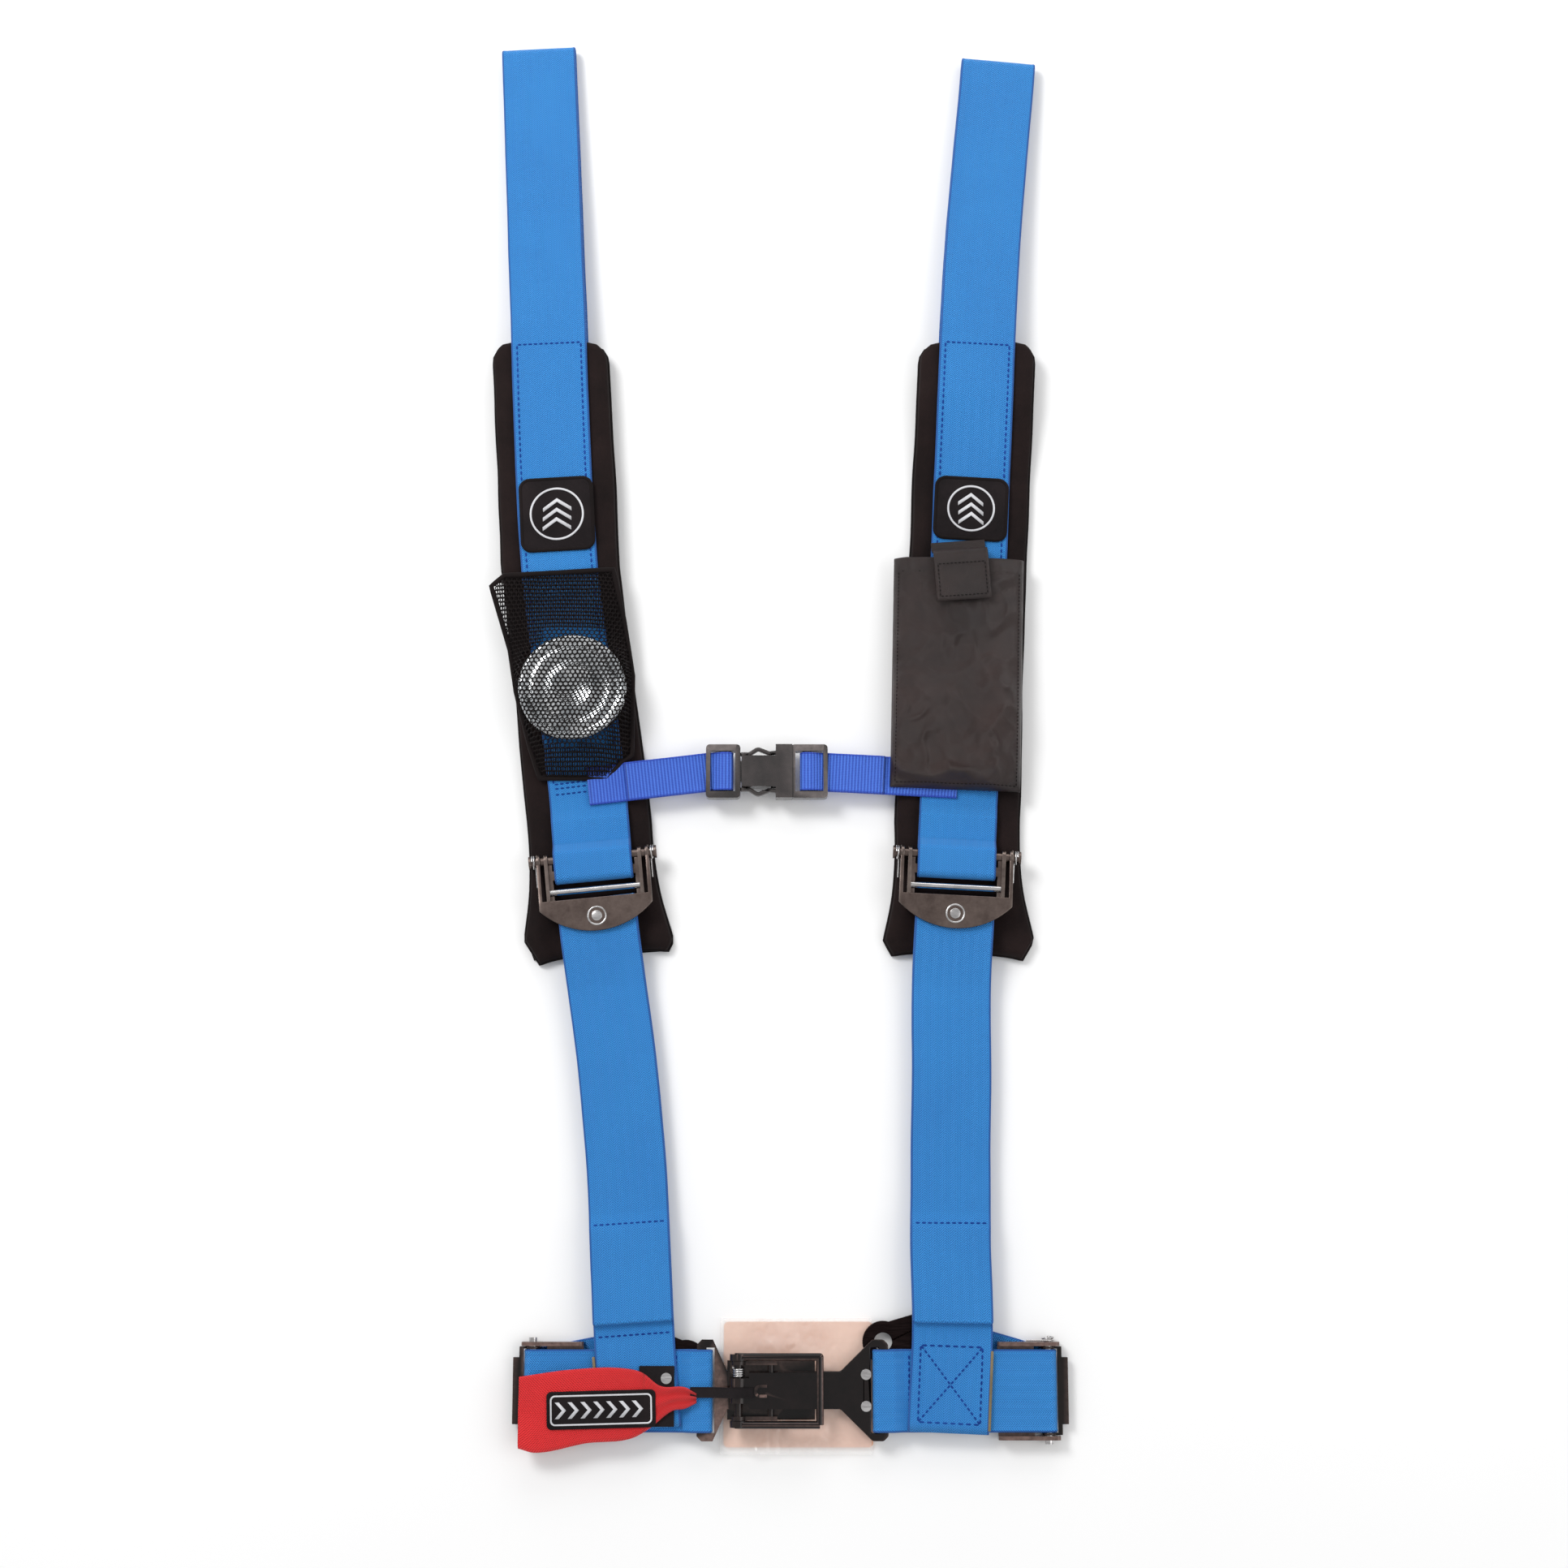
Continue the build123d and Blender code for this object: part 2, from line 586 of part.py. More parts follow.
def make_lap_adjuster(side):
    place = lap_frame(side)
    hole = LAP_BAR_R + PIN_GAP
    inner, outer = LAP_RAIL
    frame = block((-LAP_FRAME_IN, -9), (-outer, outer), LAP_CROSS)
    lever_in, lever_narrow, lever_out = LAP_LEVER_X
    inside = inner - 0.4
    narrow = (-LAP_LEVER_HALF, LAP_LEVER_HALF)
    lever = block((lever_in, lever_narrow), (-inside, inside), LAP_LEVER_Z)
    lever = lever + block((lever_narrow - 0.4, lever_out), narrow, LAP_LEVER_Z)
    for s in (-1, 1):
        y0, y1 = sorted((s * inner, s * outer))
        rail = block((-LAP_FRAME_IN, LAP_FRAME_OUT), (y0, y1), LAP_RAIL_Z)
        rail = fillet(rail.edges().filter_by(Axis.Y), 2.5)
        under = (-1, WEB_THICK + 3 * REST_GAP)
        frame = frame + (rail - block((-WIDE, 0.4 - LAP_CLEAR), (y0 - 1, y1 + 1), under))
        a0, a1 = sorted((s * inside, s * (WEB_WIDTH / 2 + 0.3)))
        knuckle = rod_y(LAP_KNUCKLE_R, a0, a1, 0, LAP_BAR_Z)
        lever = lever + knuckle + block((0, lever_narrow - 0.4), (a0, a1), LAP_LEVER_Z)
    parts[side_name(side, "lap_adjuster_frame")] = place * (frame - rod_y(hole, -40, 40, 0, LAP_BAR_Z))
    parts[side_name(side, "lap_adjuster_lever")] = place * (lever - rod_y(hole, -40, 40, 0, LAP_BAR_Z))
    bar = rod_y(LAP_BAR_R, -outer - 2.6, outer + 2.6, 0, LAP_BAR_Z)
    parts[side_name(side, "lap_adjuster_bar")] = place * bar
    spring = Pos(0, outer + 0.8, LAP_BAR_Z) * Rot(-90, 0, 0) * Rot(0, 0, -90) * coil(*LAP_SPRING)
    parts[side_name(side, "lap_adjuster_spring")] = place * spring


def make_lap_strap(side):
    """Belt from the buckle plate's slot, out round the adjuster bar and back under itself to a tab."""
    s = SIGN[side]
    half = WEB_THICK / 2
    slot = LATCH_SLOT_X if side == "left" else LINK_SLOT_X
    low_layer = PLATE_Z - REST_GAP - half
    high_layer = PLATE_Z + PLATE_THICK + REST_GAP + half
    turn_x = slot - s * (TURN_GAP + half)
    wrap = LAP_BAR_Z - half
    bar_x = LAP_ADJUSTER_X[side]
    path = [
        (slot + s * 28, low_layer + SEW_BITE),
        (slot + s * 18, low_layer + SEW_BITE),
        (slot + s * 12, low_layer),
        (turn_x, low_layer),
        (turn_x, high_layer),
        (slot + s * (TAB_BAR + 3), high_layer),
        (slot + s * (TAB_BAR + 9), LAP_RUN_Z),
        (bar_x + s * wrap, LAP_RUN_Z),
        (bar_x + s * wrap, half),
        (bar_x - s * 8, half),
    ]
    turn_r = (high_layer - low_layer) / 2 - 0.05
    face = webbing(path, [2, 2, turn_r, turn_r, 3, 3, wrap - 0.3, wrap - 0.3])
    across = (LAP_Y - WEB_WIDTH / 2, LAP_Y + WEB_WIDTH / 2)
    front = along_x(face) & block((-TALL * 2, TALL * 2), across, (-1, TALL))
    rear = LAP_REAR[side]
    rear_path = tab_return(-rear, 1) + [(6, half)]
    rear_run = along_y(webbing(rear_path, [2, 2, TAB_TURN_R, TAB_TURN_R])) & slab(
        Pos(0, -40) * Rectangle(WEB_WIDTH, 110), -1, TALL
    )
    place = rear_place(side)
    inside = sorted((bar_x - s * LAP_CLEAR, bar_x - s * WIDE))
    rear_run = (place * rear_run) & block(inside, (-WIDE, 0), (-1, TALL))
    parts[side_name(side, "lap_strap")] = front + rear_run
    lap_tab = place * Pos(0, -rear) * mounting_tab(0)
    parts[side_name(side, "mounting_tabs")] = Compound([shoulder_tab(side).solid(), lap_tab.solid()])


def rear_place(side):
    """Frame of the lap belt's rear run: -Y points from the adjuster bar to the mounting tab."""
    turned = 90 + LAP_TURN["left"] if side == "left" else -90 - LAP_TURN["right"]
    return Pos(LAP_ADJUSTER_X[side], LAP_Y) * Rot(0, 0, turned)


# ---------------------------------------------------------------- latch, link and release strap
def flare(slot_x, s, neck_x):
    """Plan of a belt plate: a slot with its bar outside it, narrowing to a neck."""
    bar_out = slot_x + s * TAB_BAR
    plan = polygon(
        [
            (bar_out, -FLARE_HALF + 3),
            (bar_out - s * 3, -FLARE_HALF),
            (slot_x - s * (TAB_SLOT[1] - 1), -FLARE_HALF),
            (neck_x, -NECK_HALF),
            (neck_x, NECK_HALF),
            (slot_x - s * (TAB_SLOT[1] - 1), FLARE_HALF),
            (bar_out - s * 3, FLARE_HALF),
            (bar_out, FLARE_HALF - 3),
        ]
    )
    slot = Pos(slot_x - s * TAB_SLOT[1] / 2, 0) * Rectangle(TAB_SLOT[1], 2 * SLOT_HALF)
    return plan - slot


def make_latch():
    at = Pos(0, LATCH_Y)
    top = PLATE_Z + PLATE_THICK
    body_top = PLATE_Z - REST_GAP
    wide = LATCH_HALF
    flared = slab(flare(LATCH_SLOT_X, -1, LATCH_BODY[0] - 3), PLATE_Z, top)
    body_low = body_top - PLATE_THICK
    step_x = (LATCH_BODY[0] - 4.5, LATCH_BODY[0] - 1.5)
    step = block(step_x, (-NECK_HALF, NECK_HALF), (body_low, top))
    body = block((LATCH_BODY[0] - 3, LATCH_BODY[1]), (-wide, wide), (body_low, body_top))
    base = flared + step + body
    for s in (-1, 1):
        y0, y1 = sorted((s * wide, s * (wide - CHEEK_THICK)))
        along = (PIVOT_X - CHEEK_LAP, CROSS_PIN_X + CHEEK_LAP)
        cheek = block(along, (y0, y1), (body_top - 1, PIVOT_Z))
        cheek = cheek + rod_y(CHEEK_EYE_R, y0, y1, PIVOT_X, PIVOT_Z)
        cheek = cheek + block(along, (y0, y1), (PIVOT_Z - 1, PIVOT_Z + 1.6))
        base = base + cheek
    cross_z = top + REST_GAP + CROSS_PIN_R
    base = base - rod_y(PIVOT_R + PIN_GAP, -40, 40, PIVOT_X, PIVOT_Z)
    base = base - rod_y(CROSS_PIN_R, -40, 40, CROSS_PIN_X, cross_z)
    base = base - block((TOOTH[0] - 2, TOOTH[1] + 2), (-7, 7), (0, body_top + 1))
    parts["latch_base"] = at * base
    parts["latch_pivot_pin"] = at * rod_y(PIVOT_R, -BARREL_HALF - 0.6, BARREL_HALF + 0.6, PIVOT_X, PIVOT_Z)
    parts["latch_cross_pin"] = at * rod_y(CROSS_PIN_R, -wide, wide, CROSS_PIN_X, cross_z)

    knuckle_in = wide + 0.2
    web_low = cross_z + CROSS_PIN_R + LEVER_WEB_GAP
    web = (web_low, web_low + LEVER_WEB)
    neck = (-LEVER_NECK_HALF, LEVER_NECK_HALF)
    lever = rod_y(BARREL_R, *neck, PIVOT_X, PIVOT_Z)
    lever = lever + block((PIVOT_X, PIVOT_X + 8), neck, web)
    lever = lever + block((PIVOT_X + 6.5, LOOP_END), (-LEVER_WEB_HALF, LEVER_WEB_HALF), web)
    for s in (-1, 1):
        y0, y1 = sorted((s * knuckle_in, s * BARREL_HALF))
        lever = lever + rod_y(BARREL_R, y0, y1, PIVOT_X, PIVOT_Z)
        lever = lever + rod_x(LOOP_R, PIVOT_X, LOOP_END, s * LOOP_HALF, LOOP_Z)
        lever = lever + Pos(LOOP_END, s * LOOP_HALF, LOOP_Z) * Sphere(LOOP_R)
    lever = lever + rod_y(LOOP_R, -LOOP_HALF, LOOP_HALF, LOOP_END, LOOP_Z)
    lever = lever + block(TOOTH, (-TOOTH_HALF, TOOTH_HALF), (PLATE_Z + 1.0, web_low + 1))
    wire_z = web[1] + RING_WIRE / 2
    wire = trace(FilletPolyline((-2, -3), (-9, -3), (-9, 3), (-2, 3), radius=2.5), RING_WIRE)
    lever = lever + slab(wire, wire_z - 1.2, wire_z + 0.9)
    lever = lever - rod_y(PIVOT_R + PIN_GAP, -40, 40, PIVOT_X, PIVOT_Z)
    parts["latch_lever"] = at * lever

    wound = coil(*LATCH_SPRING, PIVOT_Z - body_top - 0.7)
    parts["latch_spring"] = at * Pos(PIVOT_X, 8.6, PIVOT_Z) * Rot(-90, 0, 0) * Rot(0, 0, 180) * wound

    link = slab(flare(LINK_SLOT_X, 1, LINK_NECK_X), PLATE_Z, top)
    link = link + block((LINK_TIP, LINK_NECK_X + 2), (-NECK_HALF, NECK_HALF), (PLATE_Z, top))
    link = link - block(LINK_WINDOW, (-6.5, 6.5), (0, TALL))
    rivets = []
    for s in (-1, 1):
        rivet_at = Pos(RIVET_X, s * RIVET_SPREAD / 2)
        link = link - rivet_at * Pos(0, 0, PLATE_Z) * Cylinder(RIVET_R, 20)
        shank = rivet_at * Pos(0, 0, PLATE_Z + PLATE_THICK / 2) * Cylinder(RIVET_R, PLATE_THICK)
        head = rivet_at * Pos(0, 0, top + 0.6) * Cylinder(RIVET_R + 1.3, 1.2)
        foot = rivet_at * Pos(0, 0, PLATE_Z - 0.5) * Cylinder(RIVET_R + 1.0, 1.0)
        rivets.append((shank + head + foot).solid())
    parts["link_plate"] = at * link
    parts["link_rivets"] = at * Compound(rivets)


RELEASE_Z = LAP_RUN_Z + 2 * WEB_THICK - WEB_THICK / 2 + REST_GAP + 1.3  # on the lower strap and hook tab


def make_release_strap():
    red_top = RELEASE_Z + WEB_THICK
    parts["release_strap"] = slab(polygon(RELEASE_OUTLINE), RELEASE_Z, red_top)
    wide, high, thick = RELEASE_LABEL
    x, y, turned = RELEASE_LABEL_AT
    label = Pos(x, y) * Rot(0, 0, turned) * RectangleRounded(wide, high, 3)
    parts["release_label"] = slab(label, red_top, red_top + thick)
    tab_top = RELEASE_Z - 0.05
    tab = Pos(*HOOK_TAB_AT) * Rectangle(*HOOK_TAB[:2])
    parts["hook_loop_tab"] = slab(tab, tab_top - HOOK_TAB[2], tab_top)
    parts["snap_rivet"] = slab(Pos(*SNAP_AT) * Circle(SNAP_R), tab_top, RELEASE_Z + 1.1)
    web_top = PLATE_Z + PLATE_THICK + 2 * CROSS_PIN_R + REST_GAP + LEVER_WEB_GAP + LEVER_WEB
    cord = [
        (-45.9, RELEASE_Z + WEB_THICK / 2),
        (-34, RELEASE_Z + WEB_THICK / 2 + 1),
        (-26, PIVOT_Z + BARREL_R + 1.2),
        (-16, PIVOT_Z + BARREL_R + 1.2),
        (-10.3, web_top + 0.9),
    ]
    across = [LATCH_Y + edge for edge in CORD_WIDTH]
    band = along_x(webbing(cord, [8, 8, 5], CORD_THICK))
    parts["release_cord"] = band & block((-60, 0), across, (0, TALL))


def make_backing():
    width, length, thick = CARD
    card = Pos(*CARD_CENTRE) * RectangleRounded(width, length, 3)
    film = Pos(CARD_CENTRE[0] - 1, CARD_CENTRE[1]) * RectangleRounded(width, length + 2, 3)
    parts["backing_pad"] = slab(card, 0, thick)
    parts["clear_film"] = slab(film, thick, thick + FILM_THICK)


# ---------------------------------------------------------------- chest strap and buckle
def chest_strap(bar_x, s, turn, sewn, tail):
    """One side of the chest strap: round the buckle's bar, a sewn lower layer and a free tail."""
    half = CHEST_THICK / 2
    z = BUCKLE[2]
    reach = CHEST_BAR_R + REST_GAP + half
    merge = bar_x + s * CHEST_MERGE
    low_mid = PAD_THICK + WEB_THICK + 0.1 + half
    turn_x = bar_x - s * reach
    high_mid = low_mid + CHEST_THICK + CHEST_LAP
    path = [
        (merge + s * 4, low_mid),
        (merge, low_mid),
        (merge - s * 6, z - reach),
        (turn_x, z - reach),
        (turn_x, z + reach),
        (merge - s * 6, z + reach),
        (merge, high_mid),
        (merge + s * 4, high_mid),
    ]
    loop_face = webbing(path, [2, 2, reach - 0.1, reach - 0.1, 2, 2], CHEST_THICK)
    across = (BUCKLE[1] - CHEST_WIDTH / 2, BUCKLE[1] + CHEST_WIDTH / 2)
    loop = along_x(loop_face) & block((-TALL * 2, TALL * 2), across, (0, TALL))
    start = merge + s * 1.0
    flat = (-CHEST_WIDTH / 2, CHEST_WIDTH / 2)
    low_run = block(sorted((0, s * sewn)), flat, (low_mid - half, low_mid + half))
    high_low = low_mid + half + CHEST_LAP
    high_run = block(sorted((0, s * tail)), flat, (high_low - 0.06, high_low + CHEST_THICK))
    run = Pos(start, BUCKLE[1]) * Rot(0, 0, turn) * (low_run + high_run)
    return loop + run


def make_chest():
    parts["chest_strap_left"] = chest_strap(MALE_BAR_X, -1, CHEST_LEFT_TURN, *CHEST_LAYERS["left"])
    right = chest_strap(FEMALE_BAR_X, 1, -CHEST_RIGHT_TURN, *CHEST_LAYERS["right"])
    parts["chest_strap_right"] = right

    at = Pos(0, *BUCKLE[1:])
    deep = BUCKLE_THICK / 2
    x0, x1, wide, thick = TONGUE
    male = ladder(*MALE_FRAME, MALE_BAR_X) + block((x0, x1), (-wide, wide), (-thick, thick))
    parts["buckle_male"] = at * male
    prongs = []
    for s in (-1, 1):
        path = FilletPolyline(*[(x, s * y) for x, y in PRONG_LINE], radius=3)
        prong = extrude(trace(path, PRONG_WIDTH), 2 * PRONG_HALF)
        prongs.append((Pos(0, 0, -PRONG_HALF) * prong).solid())
    parts["buckle_prongs"] = at * Compound(prongs)

    x0, x1, wide = WAIST
    waist = block((x0, x1), (-wide, wide), (-deep, deep))
    shoulder = block(SHOULDER, (-BUCKLE_HALF, BUCKLE_HALF), (-deep, deep))
    female = waist + shoulder + ladder(*FEMALE_FRAME, FEMALE_BAR_X)
    end, tongue_half, prong_half, tall = THROAT
    female = female - block((-30, end), (-tongue_half, tongue_half), (-tall, tall))
    female = female - block((0, end), (-prong_half, prong_half), (-tall, tall))
    parts["buckle_female"] = at * female


def ladder(x0, x1, bar_x):
    """Open frame with a round bar across it, for the strap to go round, about the buckle's middle."""
    thick = BUCKLE_THICK / 2 - 1
    plan = Pos((x0 + x1) / 2, 0) * RectangleRounded(x1 - x0, 2 * BUCKLE_HALF, 2.5)
    inner = 3.4 if bar_x < 0 else 3.0
    edge = (x0 + 2.8, x1 - inner) if bar_x < 0 else (x0 + inner, x1 - 2.8)
    across = (-CHEST_WIDTH / 2 - 0.6, CHEST_WIDTH / 2 + 0.6)
    window = block(edge, across, (-20, 20))
    frame = slab(plan, -thick, thick) - window
    outer = (x0 - 1, x0 + 4) if bar_x < 0 else (x1 - 4, x1 + 1)
    frame = frame - block(outer, across, (-20, 2.0))
    return frame + rod_y(CHEST_BAR_R, -BUCKLE_HALF + 1, BUCKLE_HALF - 1, bar_x, 0)


# ---------------------------------------------------------------- patches, pockets, tin
def make_patch(side):
    y_low, y_high = PATCH_Y[side]
    y = (y_low + y_high) / 2
    z = pad_base(side, y) + PAD_THICK + WEB_THICK + LIE_GAP
    plan = RectangleRounded(WEB_WIDTH - 2.2, y_high - y_low, PATCH_CORNER)
    plan = Pos(line_x(SHOULDER_LINE[side], y), y) * plan
    parts[side_name(side, "emblem_patch")] = slab(plan, z, z + PATCH_THICK)


def make_mesh_pocket():
    outer_plan = polygon(MESH_OUTLINE)
    inner_plan = offset(outer_plan, -MESH_WALL)
    low, high = PAD_SLOPE["left"]
    on = PAD_THICK + WEB_THICK + 2 * LIE_GAP
    meets = low + (POUCH_Z[0] - on) * (high - low) / pad_base("left", high)
    raised = on + pad_base("left", high)
    foot, mouth = MESH_ENDS
    back = [(foot, POUCH_Z[0]), (meets, POUCH_Z[0]), (high, raised), (mouth, raised)]
    top = TIN_Z[1] + 0.4 + MESH_WALL
    front = [(mouth, top - 4), (MESH_FLAT[1], top), (MESH_FLAT[0], top), (foot, POUCH_Z[0] - 7)]
    outer = back + front
    inner = [(y, z + MESH_WALL) for y, z in back] + [(y, z - MESH_WALL) for y, z in front]
    way_in = Pos(-140, 110) * Rectangle(62, 60)
    room = slab(inner_plan, 0, TALL) + slab(way_in, 0, TALL)
    shell = slab(outer_plan, 0, TALL) & along_y(polygon(outer))
    parts["mesh_pocket"] = shell - (room & along_y(polygon(inner)))


def make_tin():
    at = Pos(*TIN_CENTRE)
    low, high = TIN_Z
    lid_low = high - 7.0
    body_r = TIN_R - TIN_WALL - 0.1
    cup = slab(Circle(body_r), low, high - 1.2) - slab(Circle(body_r - TIN_WALL), low + TIN_WALL, TALL)
    lid = slab(Circle(TIN_R), lid_low, high) - slab(Circle(body_r + 0.1), lid_low - 1, high - 1.1)
    parts["tin_body"] = at * cup
    parts["tin_lid"] = at * lid


def make_pouch():
    low, high = POUCH_Z
    plan = polygon(POUCH)
    cavity = offset(plan, -POUCH_WALL) + Pos(124, 104) * Rectangle(70, 20)
    shell = slab(plan, low, high) - slab(cavity, low + POUCH_WALL, high - POUCH_WALL)
    parts["phone_pouch"] = fillet(shell.edges().filter_by(Axis.Z).group_by(Axis.Y)[0], 3)

    flap = along_y(webbing(FLAP_PATH, [2, 2], FLAP_THICK))
    flap_plan = Pos(FLAP_X, 95) * Rot(0, 0, FLAP_TURN) * Rectangle(FLAP_WIDTH, 80)
    parts["pouch_flap"] = flap & slab(flap_plan, 0, TALL)
    strip = Pos(*STRIP_AT) * Rectangle(*STRIP[:2])
    parts["closure_strip"] = slab(strip, high, high + STRIP[2])


# ---------------------------------------------------------------- build and write
for name in ("left", "right"):
    make_pad(name)
    make_shoulder_strap(name)
    make_adjuster(name)
    make_lower_strap(name)
    make_lap_adjuster(name)
    make_lap_strap(name)
    make_patch(name)
make_latch()
make_release_strap()
make_backing()
make_chest()
make_mesh_pocket()
make_tin()
make_pouch()

os.makedirs("parts", exist_ok=True)
for name, shape in parts.items():
    export_step(shape, f"parts/{name}.step")
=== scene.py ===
from math import ceil, cos, hypot, pi, radians, sin, tan

import bmesh
import bpy
from mathutils import Matrix, Vector, noise


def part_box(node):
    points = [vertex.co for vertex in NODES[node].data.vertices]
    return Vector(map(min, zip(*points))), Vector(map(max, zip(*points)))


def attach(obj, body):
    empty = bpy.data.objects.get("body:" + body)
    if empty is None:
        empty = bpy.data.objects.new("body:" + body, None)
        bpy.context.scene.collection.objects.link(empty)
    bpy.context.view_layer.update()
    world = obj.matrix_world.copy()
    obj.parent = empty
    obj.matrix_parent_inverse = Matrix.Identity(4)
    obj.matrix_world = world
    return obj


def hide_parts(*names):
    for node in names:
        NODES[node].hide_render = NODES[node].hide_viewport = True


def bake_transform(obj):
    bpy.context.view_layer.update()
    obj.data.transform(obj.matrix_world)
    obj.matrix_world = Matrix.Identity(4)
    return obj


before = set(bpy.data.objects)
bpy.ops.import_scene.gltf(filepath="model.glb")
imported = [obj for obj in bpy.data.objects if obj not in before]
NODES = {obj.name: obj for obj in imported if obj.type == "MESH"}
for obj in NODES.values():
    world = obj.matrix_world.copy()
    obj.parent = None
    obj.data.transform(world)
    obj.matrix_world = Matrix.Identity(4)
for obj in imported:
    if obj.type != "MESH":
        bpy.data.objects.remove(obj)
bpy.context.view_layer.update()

# Racing harness laid flat, front up. Lengths below are in millimetres; MM turns them into scene units.
MM = 0.001
UP = Vector((0, 0, 1))
SIDES = {"left": -1, "right": 1}


# ---------------------------------------------------------------- sizes shared with the CAD model
WEB_WIDTH, WEB_THICK = 50.8, 2.4
CHEST_WIDTH, CHEST_THICK = 25.4, 1.8
REST_GAP, TURN_GAP, LIE_GAP, SEW_BITE = 0.1, 1.6, 0.05, 0.2
HALF = WEB_THICK / 2

SHOULDER_LINE = {
    "left": [(-161, 470.2), (-152, 304), (-140, 100), (-121, -55)],
    "right": [(157, 461), (142, 304), (131.5, 106), (123, -50)],
}
FOLD_HEIGHT = 10.0
TAB_SLOT_Y = {"left": 112.0, "right": 236.0}
TAB_THICK, TAB_BAR, TAB_SEW = 3.0, 6.0, 22.0
PAD_TOP, PAD_BOTTOM, PAD_THICK, PAD_HALF, PAD_FLARE = 255.0, -157.0, 8.0, 38.5, 9.5
PAD_SLOPE = {"left": (36.0, 96.0), "right": (161.0, 218.0)}
PAD_LIFT = 2 * WEB_THICK + TAB_THICK + 3 * REST_GAP
ADJUSTER_PLACE = {"left": (-115.5, -96.0, 5.5), "right": (120.8, -94.5, -3.0)}
PIN_R = 3.0
PIN_Z = PAD_THICK + WEB_THICK + REST_GAP + PIN_R + 0.2
TOP_BAR_FAR = 13.0
STRAP_BAR_Y, STRAP_BAR_R = -31.0, 2.4
LOWER_LINE = {
    "left": [(0, -27), (2, -85), (5, -155), (3.5, -234), (1, -298), (0, -362)],
    "right": [(0, -27), (0, -85), (2, -135), (5.5, -232), (9, -300), (9.5, -364)],
}
TAIL_END, HEM_START = 297.0, 232.0
LAP_Y = -433.0
LAP_ADJUSTER_X = {"left": -149.5, "right": 174.8}
LAP_BAR_Z = 5.25
LAP_TURN = {"left": 10.6, "right": 16.0}
LAP_REAR = {"left": 60.0, "right": 70.0}
LAP_RUN_Z = 8.1 + HALF
PLATE_THICK, PLATE_Z = 3.0, 8.2
SLOT_X = {"left": -40.0, "right": 68.0}
BUCKLE_Y, BUCKLE_Z = -39.5, 12.4
CHEST_BAR_R = 2.2
CHEST_ENDS = {"left": (-28.5, 6.6, 82, 57), "right": (23.0, -3.0, 90, 42)}  # bar, turn, sewn run, free tail
TIN_CENTRE, TIN_R, TIN_TOP = (-129.5, 14.0), 35.0, 29.0
RELEASE_Z = LAP_RUN_Z + 2 * WEB_THICK - HALF + REST_GAP + 1.3


# ---------------------------------------------------------------- paths and curves
def spline_at(points, u):
    """Smooth curve through (across, along) points: the across value at a place along it."""
    rows = sorted((b, a) for a, b in points)
    xs = [r[0] for r in rows]
    ys = [r[1] for r in rows]
    n = len(xs)
    if u <= xs[0] or u >= xs[-1]:
        i, j = (0, 1) if u <= xs[0] else (n - 1, n - 2)
        return ys[i] + (ys[j] - ys[i]) / (xs[j] - xs[i]) * (u - xs[i])
    slope = [(ys[i + 1] - ys[i]) / (xs[i + 1] - xs[i]) for i in range(n - 1)]
    ends = [slope[0]] + [(slope[i] + slope[i + 1]) / 2 for i in range(n - 2)] + [slope[-1]]
    k = max(i for i in range(n - 1) if xs[i] <= u)
    step = xs[k + 1] - xs[k]
    t = (u - xs[k]) / step
    rise = (2 * t**3 - 3 * t**2 + 1) * ys[k] + (3 * t**2 - 2 * t**3) * ys[k + 1]
    return rise + step * ((t**3 - 2 * t**2 + t) * ends[k] + (t**3 - t**2) * ends[k + 1])


def rounded(points, radii, step=6.0):
    """Side path with an arc at each corner, cut into short runs: a list of (along, height)."""
    out = [Vector(points[0])]
    for i in range(1, len(points) - 1):
        here = Vector(points[i])
        back = (Vector(points[i - 1]) - here)
        ahead = (Vector(points[i + 1]) - here)
        turn = pi - back.angle(ahead)
        radius = radii[min(i - 1, len(radii) - 1)]
        if turn < 0.02:
            out.append(here)
            continue
        cut = min(radius * tan(turn / 2), 0.499 * back.length, 0.499 * ahead.length)
        radius = cut / tan(turn / 2)
        start = here + back.normalized() * cut
        centre = here + (back.normalized() + ahead.normalized()).normalized() * (radius / cos(turn / 2))
        spoke = start - centre
        sense = 1 if ahead.cross(back) > 0 else -1
        pieces = max(2, ceil(turn / 0.22))
        for k in range(pieces + 1):
            a = sense * turn * k / pieces
            turned = (spoke.x * cos(a) - spoke.y * sin(a), spoke.x * sin(a) + spoke.y * cos(a))
            out.append(centre + Vector(turned))
    out.append(Vector(points[-1]))
    fine = [out[0]]
    for a, b in zip(out, out[1:]):
        pieces = max(1, ceil((b - a).length / step))
        fine += [a.lerp(b, k / pieces) for k in range(1, pieces + 1)]
    return [p for i, p in enumerate(fine) if i == 0 or (p - fine[i - 1]).length > 1e-4]


def ripple(x, y, z):
    """Smooth noise, about -1 to 1."""
    return noise.noise(Vector((x, y, z)))


def spun(points, cx, cy, turned):
    """Flat points turned round the origin, then moved."""
    c, s = cos(radians(turned)), sin(radians(turned))
    return [(cx + x * c - y * s, cy + x * s + y * c) for x, y in points]


def placed(x, y, turned):
    return Matrix.Translation((x, y, 0)) @ Matrix.Rotation(radians(turned), 4, "Z")


# ---------------------------------------------------------------- mesh makers
def rework(mesh, *jobs):
    """Runs edits on a mesh."""
    tool = bmesh.new()
    tool.from_mesh(mesh)
    for job in jobs:
        job(tool)
    tool.to_mesh(mesh)
    tool.free()


def even_normals(tool):
    bmesh.ops.recalc_face_normals(tool, faces=tool.faces)


